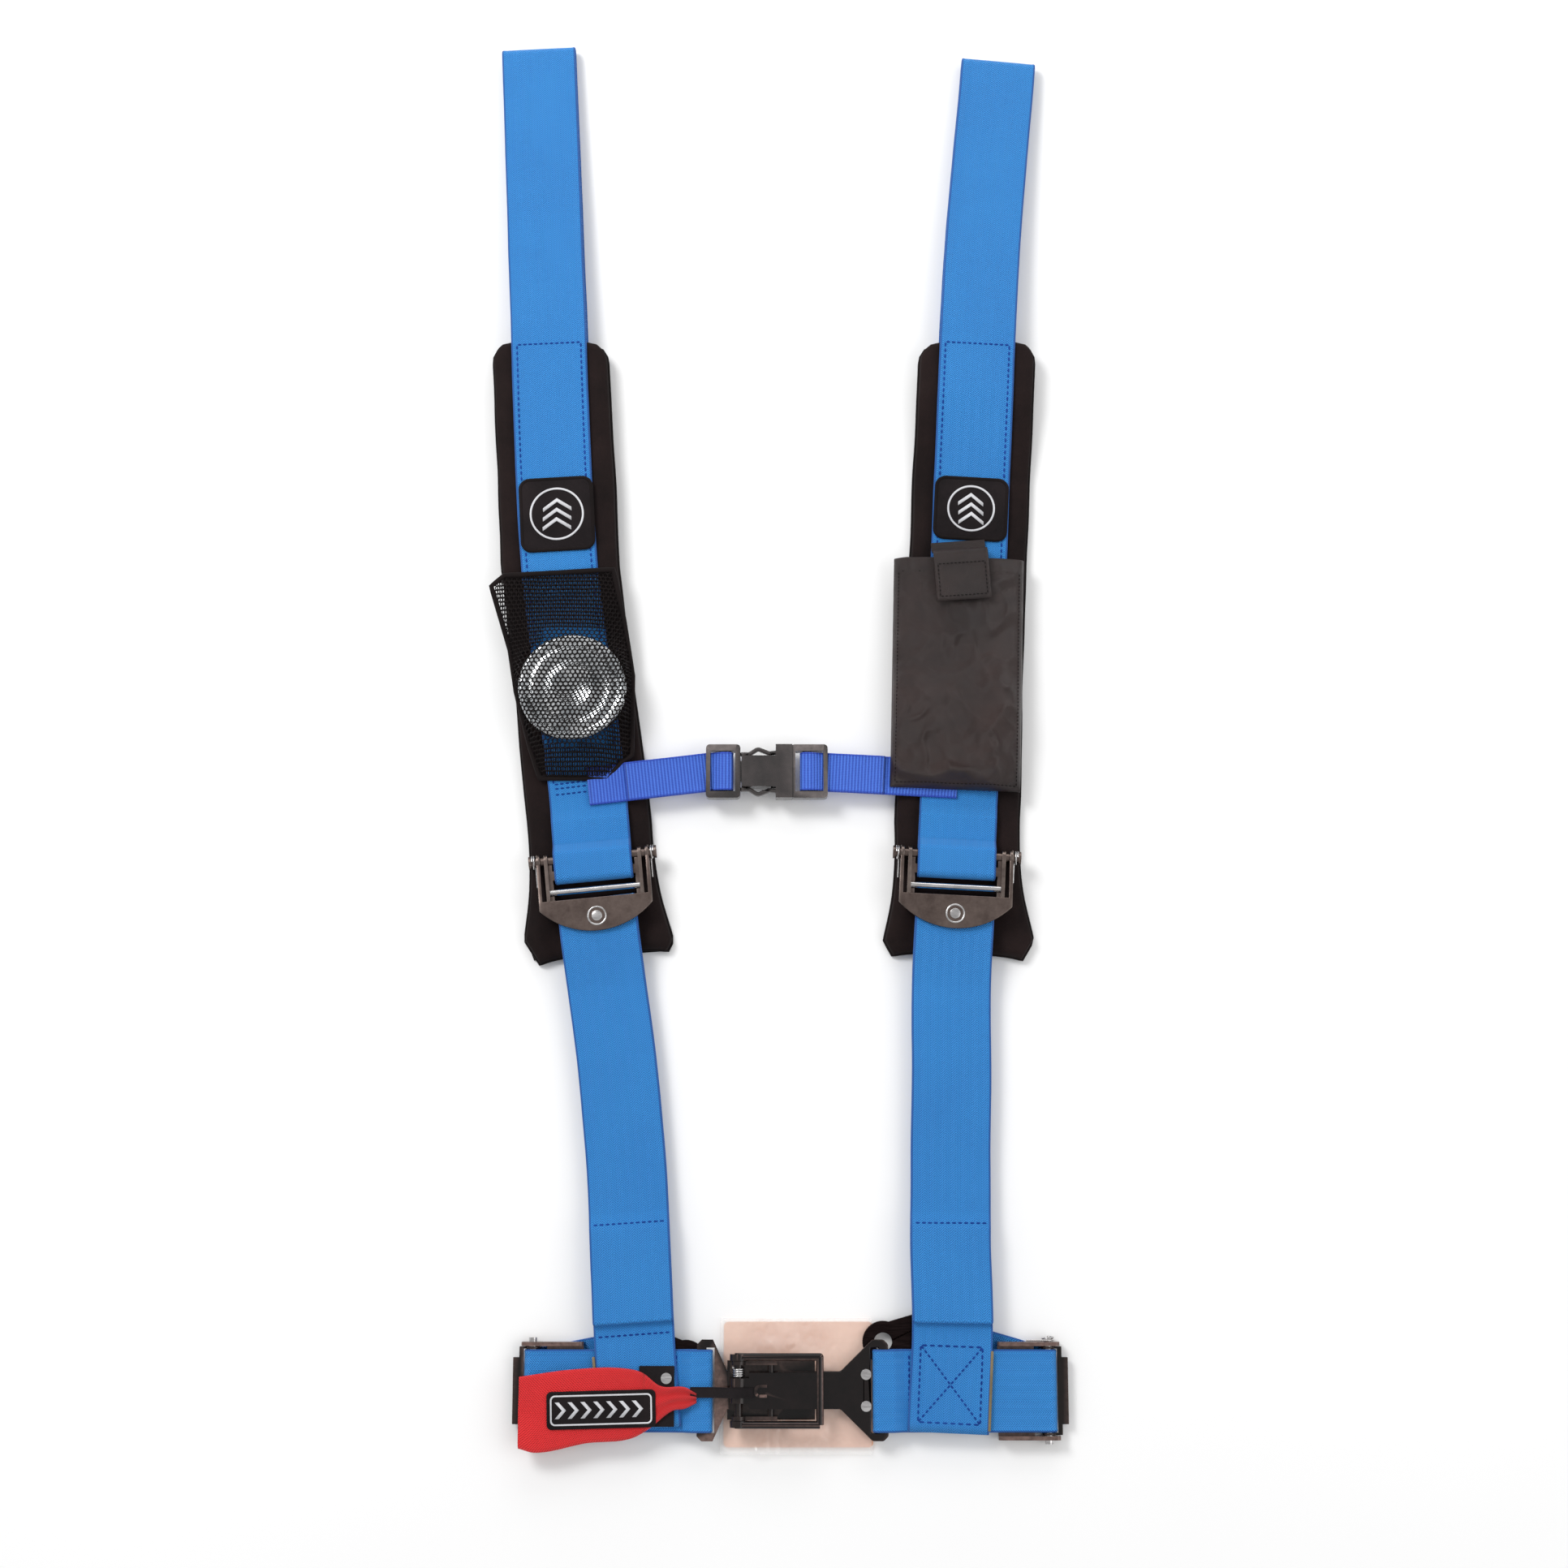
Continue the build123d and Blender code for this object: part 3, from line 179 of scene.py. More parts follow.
def make_mesh(name, verts, faces, uvs=None, smooth=True):
    """Object from millimetre vertices; uvs gives each vertex its place in the weave, in millimetres."""
    mesh = bpy.data.meshes.new(name)
    mesh.from_pydata([Vector(v) * MM for v in verts], [], faces)
    if uvs:
        layer = mesh.uv_layers.new(name="weave")
        for loop in mesh.loops:
            layer.data[loop.index].uv = Vector(uvs[loop.vertex_index]) * MM
    rework(mesh, even_normals)
    for polygon in mesh.polygons:
        polygon.use_smooth = smooth
    mesh.validate()
    piece = bpy.data.objects.new(name, mesh)
    bpy.context.scene.collection.objects.link(piece)
    return piece


def ring_quads(a, b, n):
    """Quads between two rings of n points that start at a and b."""
    return [(a + k, a + (k + 1) % n, b + (k + 1) % n, b + k) for k in range(n)]


def grid_faces(rows, cols, first=0):
    """Quads of a sheet whose points run row by row."""
    row = cols + 1
    corners = [first + i * row + k for i in range(rows) for k in range(cols)]
    return [(a, a + 1, a + row + 1, a + row) for a in corners]


def rim_of(rows, cols):
    """Points round the edge of such a sheet, in order."""
    row = cols + 1
    rim = list(range(row)) + [i * row + cols for i in range(1, rows + 1)]
    rim += [rows * row + k for k in range(cols - 1, -1, -1)]
    return rim + [i * row for i in range(rows - 1, 0, -1)]


def shell_faces(rows, cols):
    """Two such sheets, the second under the first, closed round their edge."""
    low = (rows + 1) * (cols + 1)
    rim = rim_of(rows, cols)
    sides = [(a, b, low + b, low + a) for a, b in zip(rim, rim[1:] + rim[:1])]
    return grid_faces(rows, cols) + grid_faces(rows, cols, low) + sides


def dress(piece, body, slot, material, *replaced):
    """Gives a piece its material and its body, and hides the CAD nodes it stands for; the slot argument is
    not used.
    """
    piece.data.materials.clear()
    piece.data.materials.append(MATERIALS[material])
    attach(piece, body)
    if replaced:
        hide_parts(*replaced)
    return piece


# Across a belt: share of its half width, and share of its half thickness, with a thicker woven edge.
SECTION = [(-1, 0), (-0.995, 0.5), (-0.98, 0.86), (-0.955, 1.0)]
SECTION += [(-0.93, 1.0), (-0.905, 0.86), (-0.6, 0.9), (-0.2, 0.92)]
SECTION += [(-a, b) for a, b in reversed(SECTION)]


def ribbon_data(path, plan, width, thick, place, wander=0.25, seed=0.0):
    """Vertices, faces and weave places of a belt that follows a side path and a plan line."""
    ring = [(a, b) for a, b in SECTION] + [(a, -b) for a, b in reversed(SECTION[1:-1])]
    verts, uvs, faces = [], [], []
    length = 0.0
    for i, p in enumerate(path):
        ahead = path[min(i + 1, len(path) - 1)] - path[max(i - 1, 0)]
        ahead.normalize()
        lean = (plan(p.x + 1) - plan(p.x - 1)) / 2
        across = Vector((1, -lean, 0)).normalized()
        along = Vector((lean, 1, 0)).normalized()
        face = along * -ahead.y + Vector((0, 0, ahead.x))
        if i:
            length += (p - path[i - 1]).length
        shift = wander * ripple(p.x * 0.018, seed, 0)
        middle = Vector((plan(p.x) + shift, p.x, p.y))
        for a, b in ring:
            edge = 1 + 0.004 * ripple(p.x * 0.05, seed + a * 3, 1)
            spot = middle + across * (a * edge * width / 2) + face * (b * thick / 2)
            verts.append(place @ spot)
            uvs.append((a * width / 2, length))
    n = len(ring)
    for i in range(len(path) - 1):
        faces += ring_quads(i * n, (i + 1) * n, n)
    faces.append(tuple(range(n)))
    faces.append(tuple((len(path) - 1) * n + k for k in reversed(range(n))))
    return verts, faces, uvs


def ribbon(name, path, plan=lambda u: 0.0, width=WEB_WIDTH, thick=WEB_THICK, place=Matrix(), wander=0.25):
    seed = sum(ord(c) for c in name) * 0.37
    verts, faces, uvs = ribbon_data(path, plan, width, thick, place, wander, seed)
    return make_mesh(name, verts, faces, uvs)


def joined(name, chunks, with_uv=False):
    """One object from several (vertices, faces, uvs) lists."""
    verts, faces, uvs = [], [], []
    for chunk in chunks:
        base = len(verts)
        verts += chunk[0]
        faces += [tuple(base + k for k in f) for f in chunk[1]]
        if with_uv:
            uvs += chunk[2]
    return make_mesh(name, verts, faces, uvs if with_uv else None)


def thread(a, b, radius):
    """One stitch: a slightly flattened grain from a to b."""
    axis = b - a
    side = axis.cross(UP).normalized()
    high = side.cross(axis).normalized()
    rings = [(0.0, 0.0), (0.12, 0.75), (0.35, 1.0), (0.65, 1.0), (0.88, 0.75), (1.0, 0.0)]
    sides = 6
    verts = [a]
    for t, r in rings[1:-1]:
        centre = a.lerp(b, t)
        for k in range(sides):
            turn = 2 * pi * k / sides
            verts.append(centre + side * (cos(turn) * r * radius) + high * (sin(turn) * r * radius * 0.8))
    verts.append(b)
    faces = [(0, 1 + (k + 1) % sides, 1 + k) for k in range(sides)]
    for i in range(len(rings) - 3):
        low = 1 + i * sides
        faces += ring_quads(low, low + sides, sides)
    low = 1 + (len(rings) - 3) * sides
    faces += [(low + k, low + (k + 1) % sides, len(verts) - 1) for k in range(sides)]
    return verts, faces


def seam(points, pitch=4.0, fill=0.72, radius=0.6):
    """Stitches along a polyline of points in space."""
    chunks = []
    for a, b in zip(points, points[1:]):
        run = (b - a).length
        count = max(1, round(run / pitch))
        for k in range(count):
            start = a.lerp(b, (k + (1 - fill) / 2) / count)
            end = a.lerp(b, (k + (1 + fill) / 2) / count)
            chunks.append(thread(start, end, radius))
    return chunks


def plate_data(outline, low, high, lip=0.4):
    """Flat piece with an outline of (x, y) points and softened edges."""
    n = len(outline)
    centre = Vector((sum(p[0] for p in outline) / n, sum(p[1] for p in outline) / n))
    levels = [(low, lip), (low + lip, 0.0), (high - lip, 0.0), (high - 0.3 * lip, 0.3 * lip), (high, lip)]
    verts = []
    for z, inset in levels:
        for p in outline:
            inward = (centre - Vector(p)).normalized()
            verts.append(Vector((p[0] + inward.x * inset, p[1] + inward.y * inset, z)))
    faces = [tuple(reversed(range(n))), tuple((len(levels) - 1) * n + k for k in range(n))]
    for i in range(len(levels) - 1):
        faces += ring_quads(i * n, (i + 1) * n, n)
    return verts, faces


def soft_rectangle(cx, cy, w, h, r, turned=0.0):
    """Outline of a rectangle with rounded corners."""
    arc = 6
    points = []
    for sx, sy, start in ((1, 1, 0), (-1, 1, 90), (-1, -1, 180), (1, -1, 270)):
        for k in range(arc + 1):
            a = radians(start + 90 * k / arc)
            points.append((sx * (w / 2 - r) + r * cos(a), sy * (h / 2 - r) + r * sin(a)))
    return spun(points, cx, cy, turned)


def tube_data(points, radius, sides=8, flat=1.0):
    """Round or flattened tube along a closed loop of points in space."""
    n = len(points)
    verts = []
    for i, p in enumerate(points):
        axis = (points[(i + 1) % n] - points[i - 1]).normalized()
        side = axis.cross(UP).normalized()
        high = side.cross(axis)
        for k in range(sides):
            a = 2 * pi * k / sides
            verts.append(p + side * (cos(a) * radius) + high * (sin(a) * radius * flat))
    faces = []
    for i in range(n):
        faces += ring_quads(i * sides, (i + 1) % n * sides, sides)
    return verts, faces


# ---------------------------------------------------------------- materials
MATERIALS = {}


class Shader:
    """A Principled material built node by node, kept in MATERIALS by its name."""

    def __init__(self, name, roughness=0.6, metallic=0.0, **constants):
        self.material = MATERIALS[name] = bpy.data.materials.new(name)
        self.material.use_nodes = True
        self.tree = self.material.node_tree
        self.main = self.tree.nodes["Principled BSDF"]
        self.main.inputs["Roughness"].default_value = roughness
        self.main.inputs["Metallic"].default_value = metallic
        for key, value in constants.items():
            self.main.inputs[key.replace("_", " ")].default_value = value

    def node(self, kind, **settings):
        made = self.tree.nodes.new("ShaderNode" + kind)
        for key, value in settings.items():
            setattr(made, key, value)
        return made

    def link(self, source, target):
        self.tree.links.new(source, target)

    def math(self, operation, a, b=None):
        made = self.node("Math", operation=operation)
        for socket, value in zip(made.inputs, (a, b)):
            if value is None:
                continue
            if isinstance(value, (int, float)):
                socket.default_value = value
            else:
                self.link(value, socket)
        return made.outputs[0]

    def plus(self, a, b):
        return self.math("ADD", a, b)

    def times(self, a, b):
        return self.math("MULTIPLY", a, b)

    def wave(self, place, pitch):
        """Sine along one axis, a turn every pitch millimetres."""
        return self.math("SINE", self.times(place, 2 * pi / (pitch * MM)))

    def axes(self, place):
        parts = self.node("SeparateXYZ")
        self.link(place, parts.inputs[0])
        return parts.outputs

    def noise(self, scale, detail=3.0, rough=0.55, stretch=(1, 1, 1)):
        place = self.node("TexCoord").outputs["Object"]
        mapping = self.node("Mapping")
        mapping.inputs["Scale"].default_value = stretch
        self.link(place, mapping.inputs["Vector"])
        made = self.node("TexNoise")
        made.inputs["Scale"].default_value = scale
        made.inputs["Detail"].default_value = detail
        made.inputs["Roughness"].default_value = rough
        self.link(mapping.outputs[0], made.inputs["Vector"])
        return made.outputs["Fac"]

    def ramp(self, value, *stops):
        made = self.node("ValToRGB")
        line = made.color_ramp
        while len(line.elements) < len(stops):
            line.elements.new(0.5)
        for element, (place, colour) in zip(line.elements, stops):
            element.position = place
            element.color = (*colour, 1)
        self.link(value, made.inputs["Fac"])
        return made.outputs["Color"]

    def mix(self, share, a, b, blend="MIX"):
        made = self.node("Mix", data_type="RGBA", blend_type=blend)
        for socket, value in ((made.inputs[0], share), (made.inputs[6], a), (made.inputs[7], b)):
            if isinstance(value, (int, float)):
                socket.default_value = value
            elif isinstance(value, tuple):
                socket.default_value = (*value, 1)
            else:
                self.link(value, socket)
        return made.outputs[2]

    def paint(self, colour):
        self.link(colour, self.main.inputs["Base Color"])

    def bump(self, height, distance):
        made = self.node("Bump")
        made.inputs["Strength"].default_value = 1.0
        made.inputs["Distance"].default_value = distance * MM
        self.link(height, made.inputs["Height"])
        if self.main.inputs["Normal"].is_linked:
            self.link(self.main.inputs["Normal"].links[0].from_socket, made.inputs["Normal"])
        self.link(made.outputs[0], self.main.inputs["Normal"])

    def rough(self, value, low, high):
        made = self.node("MapRange")
        made.inputs["To Min"].default_value = low
        made.inputs["To Max"].default_value = high
        self.link(value, made.inputs["Value"])
        self.link(made.outputs[0], self.main.inputs["Roughness"])


def linear(r, g, b):
    """Colour from display values out of 255."""
    return tuple((v / 255 / 12.92) if v <= 10 else ((v / 255 + 0.055) / 1.055) ** 2.4 for v in (r, g, b))


def webbing(name, light, dark, edge, half_width, column=3.3, pick=1.5, ribs=False):
    """Woven belt: a herringbone of slanting picks, or ribs straight across it, with a darker edge."""
    shader = Shader(name, 0.62, Sheen_Weight=0.08, Sheen_Roughness=0.4)
    spot = shader.node("UVMap", uv_map="weave").outputs[0]
    across, along = shader.axes(spot)[:2]
    if ribs:
        wave = shader.wave(along, pick)
        fine = shader.wave(across, 0.8)
    else:
        slant = shader.math("PINGPONG", across, column * MM)
        wave = shader.wave(shader.plus(along, slant), pick)
        fine = shader.wave(across, 1.1)
    height = shader.plus(shader.times(wave, 0.5), shader.times(fine, 0.22))
    level = shader.plus(shader.times(height, 0.6), 0.5)
    # The weave's height also sets its colour: the grooves get painted shade and the raised picks a lighter
    # tone.
    colour = shader.ramp(level, (0.0, linear(*dark)), (0.75, linear(*light)))
    patchy = shader.ramp(shader.noise(14, 4, 0.6), (0.3, (0.86, 0.88, 0.92)), (0.7, (1.0, 1.0, 1.0)))
    colour = shader.mix(1.0, colour, patchy, "MULTIPLY")
    rim = shader.math("GREATER_THAN", shader.math("ABSOLUTE", across), (half_width - 1.3) * MM)
    colour = shader.mix(shader.times(rim, 0.75), colour, linear(*edge))
    shader.paint(colour)
    shader.bump(height, 0.5 if not ribs else 0.6)
    shader.bump(shader.noise(900, 2, 0.6), 0.06)
    shader.rough(level, 0.72, 0.52)


def cloth(name, low, high, weave=0.8, roughness=(0.95, 0.75), sheen=0.03, lint=True, specular=0.2):
    """Plain woven or knitted fabric with a fine grain and a little lint and fading."""
    shader = Shader(name, roughness[0], Sheen_Weight=sheen, Sheen_Roughness=0.5, Specular_IOR_Level=specular)
    place = shader.node("TexCoord").outputs["Object"]
    across, along = shader.axes(place)[:2]
    warp = shader.wave(across, weave)
    weft = shader.wave(along, weave)
    grain = shader.times(warp, weft)
    broad = shader.noise(22, 5, 0.62)
    fibre = shader.noise(700, 3, 0.7)
    fleck = shader.times(fibre, 0.25 if lint else 0.1)
    tone = shader.plus(shader.times(broad, 0.75), fleck)
    shader.paint(shader.ramp(tone, (0.32, linear(*low)), (0.68, linear(*high))))
    shader.bump(grain, 0.07)
    shader.bump(fibre, 0.10 if lint else 0.04)
    shader.rough(broad, *roughness)


def coated(name, low, high, metallic, roughness, edge_wear_and_highlight=None, coat=0.0, grain=260, stretch=(1, 1, 1),
           dimple=0.02, specular=0.5):
    """Metal or moulded plastic: tone and roughness vary a little, and raised edges are painted lighter, as
    wear on the gunmetal and as a painted highlight on the gloss black.
    """
    shader = Shader(name, roughness[0], metallic, Coat_Weight=coat, Coat_Roughness=0.12,
                    Specular_IOR_Level=specular)
    broad = shader.noise(60, 4, 0.6, stretch)
    fine = shader.noise(grain, 4, 0.65, stretch)
    tone = shader.plus(shader.times(broad, 0.6), shader.times(fine, 0.4))
    colour = shader.ramp(tone, (0.35, linear(*low)), (0.65, linear(*high)))
    if edge_wear_and_highlight:
        # Convex edges get the lighter colour: wear on the gunmetal, a painted highlight on the gloss black.
        pointed = shader.node("NewGeometry").outputs["Pointiness"]
        edge = shader.ramp(pointed, (0.53, (0, 0, 0)), (0.62, (1, 1, 1)))
        share = shader.times(edge, shader.times(fine, 0.9))
        colour = shader.mix(share, colour, linear(*edge_wear_and_highlight))
    shader.paint(colour)
    shader.rough(fine, *roughness)
    shader.bump(fine, dimple)


def tab_steel():
    """Bright tabs at the shoulders and black ones at the lap, told apart by where they lie."""
    shader = Shader("tab_steel", 0.3, 1.0)
    place = shader.node("TexCoord").outputs["Object"]
    bright = shader.math("GREATER_THAN", shader.axes(place)[1], -0.3)
    grain = shader.noise(120, 4, 0.6, (1, 14, 1))
    steel = shader.ramp(grain, (0.3, linear(150, 152, 156)), (0.7, linear(205, 206, 208)))
    black = shader.ramp(grain, (0.3, linear(22, 17, 17)), (0.7, linear(44, 34, 34)))
    shader.paint(shader.mix(bright, black, steel))
    shader.rough(grain, 0.34, 0.2)
    shader.bump(grain, 0.02)


def clear_sheet():
    shader = Shader("clear_film", 0.08, 0.0, IOR=1.45, Specular_IOR_Level=1.0, Coat_Weight=1.0,
                    Coat_Roughness=0.04, Alpha=0.3)
    crease = shader.noise(38, 3, 0.7)
    shader.bump(crease, 1.4)
    shader.paint(shader.ramp(crease, (0.4, (0.95, 0.95, 0.95)), (0.6, (1, 1, 1))))
    shader.rough(crease, 0.05, 0.14)


def card_board():
    shader = Shader("tan_card", 0.75)
    broad = shader.noise(18, 5, 0.6)
    fine = shader.noise(500, 2, 0.6)
    tone = shader.plus(shader.times(broad, 0.7), shader.times(fine, 0.3))
    shader.paint(shader.ramp(tone, (0.35, linear(222, 168, 138)), (0.65, linear(240, 196, 168))))
    shader.bump(fine, 0.05)
    shader.rough(broad, 0.8, 0.6)


webbing("belt_webbing", (54, 160, 238), (18, 98, 186), (18, 76, 160), WEB_WIDTH / 2)
webbing("chest_webbing", (84, 134, 246), (26, 58, 176), (36, 70, 190), CHEST_WIDTH / 2, pick=2.1, ribs=True)
webbing("red_webbing", (248, 40, 44), (205, 10, 20), (170, 8, 18), WEB_WIDTH / 2, column=50, pick=1.6)
cloth("pad_fabric", (12, 5, 5), (32, 18, 17), 1.0)
cloth("binding", (8, 4, 4), (24, 14, 14), 1.4)
cloth("pad_lining", (18, 16, 16), (34, 30, 30), 1.3)
cloth("foam", (40, 40, 42), (58, 58, 60), 2.0)
cloth("patch_fabric", (14, 10, 12), (34, 26, 28), 0.7)
cloth("pale_thread", (205, 205, 210), (248, 248, 250), 0.7, lint=False)
cloth("mesh_fabric", (10, 5, 5), (24, 14, 14), 0.6)
cloth("pouch_fabric", (28, 16, 15), (54, 37, 34), 0.5, (0.44, 0.3), 0.02, False, 0.45)
cloth("olive_tape", (112, 100, 78), (150, 136, 108), 0.8)
cloth("hook_loop", (14, 11, 12), (36, 30, 32), 1.2)
cloth("blue_thread", (18, 58, 140), (36, 88, 180), 0.5, lint=False)
cloth("dark_thread", (12, 8, 8), (36, 26, 26), 0.5, lint=False)
coated("gunmetal", (88, 76, 72), (122, 108, 102), 1.0, (0.36, 0.24), (200, 190, 182), dimple=0.015)
coated("bright_steel", (168, 166, 166), (222, 220, 220), 1.0, (0.3, 0.16), stretch=(1, 8, 1))
# The gloss black's lighter edge colour (150, 122, 114) is a painted highlight on its rounded edges.
coated("gloss_black", (8, 5, 5), (22, 14, 14), 0.1, (0.24, 0.12), (150, 122, 114), 0.2, specular=0.25)
coated("tin_metal", (150, 156, 160), (228, 230, 232), 1.0, (0.34, 0.12), grain=90, dimple=0.25)
coated("moulded", (26, 22, 22), (50, 43, 43), 0.0, (0.34, 0.2), (140, 130, 128), 0.5)
tab_steel()
clear_sheet()
card_board()


# ---------------------------------------------------------------- camera, light and floor
def add_camera():
    data = bpy.data.cameras.new("camera")
    data.lens = 55.83
    data.sensor_width = 36
    camera = bpy.data.objects.new("camera", data)
    camera.location = (0.0086, -0.3231, 1.5757)
    camera.rotation_euler = (radians(10), 0, 0)
    bpy.context.scene.collection.objects.link(camera)
    bpy.context.scene.camera = camera


def add_light(name, place, aim, size, power):
    data = bpy.data.lights.new(name, "AREA")
    data.shape = "RECTANGLE"
    data.size, data.size_y = size
    data.energy = power
    lamp = bpy.data.objects.new(name, data)
    lamp.location = place
    lamp.rotation_euler = (Vector(aim) - Vector(place)).to_track_quat("-Z", "Y").to_euler()
    bpy.context.scene.collection.objects.link(lamp)


def add_studio():
    add_light("key", (-1.1, 1.0, 1.7), (0, 0, 0), (0.8, 0.8), 27)
    add_light("fill", (1.5, -0.4, 1.5), (0, 0, 0), (1.4, 1.4), 9)
    add_light("back", (0.2, 1.9, 1.1), (0, 0.1, 0), (1.6, 0.8), 9)
    world = bpy.data.worlds.new("studio")
    world.use_nodes = True
    world.node_tree.nodes["Background"].inputs["Color"].default_value = (1, 1, 1, 1)
    world.node_tree.nodes["Background"].inputs["Strength"].default_value = 0.6
    bpy.context.scene.world = world
    bpy.context.scene.view_settings.view_transform = "Standard"
    reach, under = 4000, -0.4
    corners = [(x * reach, y * reach, under) for x, y in ((-1, -1), (1, -1), (1, 1), (-1, 1))]
    floor = make_mesh("floor", corners, [(0, 1, 2, 3)], smooth=False)
    paper = Shader("paper", 0.9)
    paper.paint(paper.ramp(paper.noise(3, 2), (0.3, (0.94, 0.94, 0.94)), (0.7, (0.96, 0.96, 0.96))))
    floor.data.materials.append(paper.material)


# ---------------------------------------------------------------- hard parts carried over from the CAD model
def finish_metal(node, material, bevel):
    """Keeps a CAD part and gives it its material and softened edges."""
    part = NODES[node]
    part.data.materials.clear()
    part.data.materials.append(MATERIALS[material])
    weld = part.modifiers.new("weld", "WELD")
    weld.merge_threshold = 0.00001
    edge = part.modifiers.new("edge", "BEVEL")
    edge.width = bevel * MM
    edge.segments = 2
    edge.limit_method = "ANGLE"
    edge.angle_limit = radians(35)
    edge.harden_normals = False
    for polygon in part.data.polygons:
        polygon.use_smooth = True
    normals = part.modifiers.new("normals", "WEIGHTED_NORMAL")
    normals.keep_sharp = True


def finish_hard_parts():
    for side in SIDES:
        finish_metal(f"{side}_adjuster_frame", "gunmetal", 0.5)
        finish_metal(f"{side}_adjuster_lever", "gunmetal", 0.5)
        finish_metal(f"{side}_adjuster_pin", "gunmetal", 0.25)
        for name in ("adjuster_bars", "adjuster_springs", "lap_adjuster_bar", "lap_adjuster_spring"):
            finish_metal(f"{side}_{name}", "bright_steel", 0.25)
        finish_metal(f"{side}_lap_adjuster_frame", "gloss_black", 0.5)
        finish_metal(f"{side}_lap_adjuster_lever", "gloss_black", 0.5)
        finish_metal(f"{side}_mounting_tabs", "tab_steel", 0.5)
    for name in ("latch_base", "latch_lever", "link_plate"):
        finish_metal(name, "gloss_black", 0.8)
    for name in ("latch_pivot_pin", "latch_cross_pin"):
        finish_metal(name, "gloss_black", 0.3)
    for name in ("latch_spring", "link_rivets", "snap_rivet"):
        finish_metal(name, "bright_steel", 0.3)
    for name in ("buckle_male", "buckle_female", "buckle_prongs"):
        finish_metal(name, "moulded", 0.8)
    finish_metal("closure_strip", "hook_loop", 0.2)
    finish_metal("hook_loop_tab", "hook_loop", 0.4)
    finish_metal("backing_pad", "tan_card", 0.6)
    for side in SIDES:
        finish_metal(f"{side}_pad_foam", "foam", 0.5)
        finish_metal(f"{side}_pad_lining", "pad_lining", 0.3)
    finish_metal("tin_body", "tin_metal", 0.2)


# ---------------------------------------------------------------- belts
def pad_base(side, y):
    low, high = PAD_SLOPE[side]
    return PAD_LIFT * min(max((y - low) / (high - low), 0), 1)


def tab_return(slot, direction):
    top = 2 * WEB_THICK + TAB_THICK + 2 * REST_GAP - HALF
    turn = slot - direction * (TURN_GAP + HALF)
    return [
        (slot + direction * TAB_SEW, 3 * HALF - SEW_BITE),
        (slot + direction * (TAB_BAR + 8), 3 * HALF - SEW_BITE),
        (slot + direction * (TAB_BAR + 2), top),
        (turn, top),
        (turn, HALF),
    ]


TAB_TURN_R = (WEB_THICK + TAB_THICK + 2 * REST_GAP) / 2 - 0.05


def shoulder_plan(side):
    x, y, turned = ADJUSTER_PLACE[side]
    lean = tan(radians(turned))
    line = SHOULDER_LINE[side][:3] + [(x - lean * 40, y + 40), (x, y), (x + lean * 30, y - 30)]
    return lambda u: spline_at(line, u)


def shoulder_path(side):
    top = SHOULDER_LINE[side][0][1]
    pin_y = ADJUSTER_PLACE[side][1]
    on_pad = PAD_THICK + HALF + LIE_GAP
    low, high = PAD_SLOPE[side]
    lifted = PAD_LIFT + on_pad
    fold = FOLD_HEIGHT - HALF
    over = PIN_Z + PIN_R + REST_GAP + HALF
    far = pin_y - (TOP_BAR_FAR + 3 * REST_GAP + HALF)
    points = tab_return(TAB_SLOT_Y[side], 1) + [
        (top - HALF, HALF),
        (top - HALF, fold),
        (PAD_TOP + 12, lifted),
        (high, lifted),
        (low, on_pad),
        (pin_y + 33, on_pad),
        (pin_y + 26, on_pad + WEB_THICK - SEW_BITE),
        (pin_y + 10, on_pad + WEB_THICK - SEW_BITE),
        (pin_y + 4, over),
        (far, over),
        (far, on_pad),
        (pin_y + 26, on_pad),
    ]
    turn = (FOLD_HEIGHT - WEB_THICK) / 2 - 0.3
    radii = [2, 2, TAB_TURN_R, TAB_TURN_R, turn, turn, 60, 30, 30, 12, 5, 3, 3.5, 3.6, 3.6]
    return rounded(points, radii)


def top_of(path, u):
    """Height of the belt's middle where its upper run passes a place."""
    best = None
    for a, b in zip(path, path[1:]):
        if min(a.x, b.x) <= u <= max(a.x, b.x) and abs(b.x - a.x) > 1e-6:
            z = a.y + (b.y - a.y) * (u - a.x) / (b.x - a.x)
            best = z if best is None else max(best, z)
    return best if best is not None else path[-1].y


def on_belt(path, plan, place, u, a):
    """Point on the upper face of a belt."""
    lift = HALF * 0.92
    lean = (plan(u + 1) - plan(u - 1)) / 2
    across = Vector((1, -lean, 0)).normalized()
    return place @ (Vector((plan(u), u, top_of(path, u) + lift)) + across * a)


def belt_seam(path, plan, place, stations, step=12.0):
    """Points on a belt's face along stations of (across, along), cut finely enough to follow it."""
    points = []
    for (a0, u0), (a1, u1) in zip(stations, stations[1:]):
        pieces = max(1, ceil(hypot(a1 - a0, u1 - u0) / step))
        for k in range(pieces):
            u, a = u0 + (u1 - u0) * k / pieces, a0 + (a1 - a0) * k / pieces
            points.append(on_belt(path, plan, place, u, a))
    points.append(on_belt(path, plan, place, stations[-1][1], stations[-1][0]))
    return points


def make_shoulder_belts():
    for side in SIDES:
        body = f"{side}_half"
        path, plan, place = shoulder_path(side), shoulder_plan(side), Matrix()
        belt = ribbon(f"{side}_shoulder_belt", path, plan)
        dress(belt, body, "belt_webbing", "belt_webbing", f"{side}_shoulder_strap")
        inset = WEB_WIDTH / 2 - 4
        top = PAD_TOP - 3
        box = [(-inset, -45), (-inset, top), (inset, top), (inset, -45)]
        chunks = seam(belt_seam(path, plan, place, box))
        pin_y = ADJUSTER_PLACE[side][1]
        for u in (pin_y + 44, pin_y + 48, PAD_BOTTOM + 112):
            chunks += seam(belt_seam(path, plan, place, [(-inset, u), (inset, u)]))
        dress(joined(f"{side}_pad_stitching", chunks), body, "belt_webbing", "blue_thread")


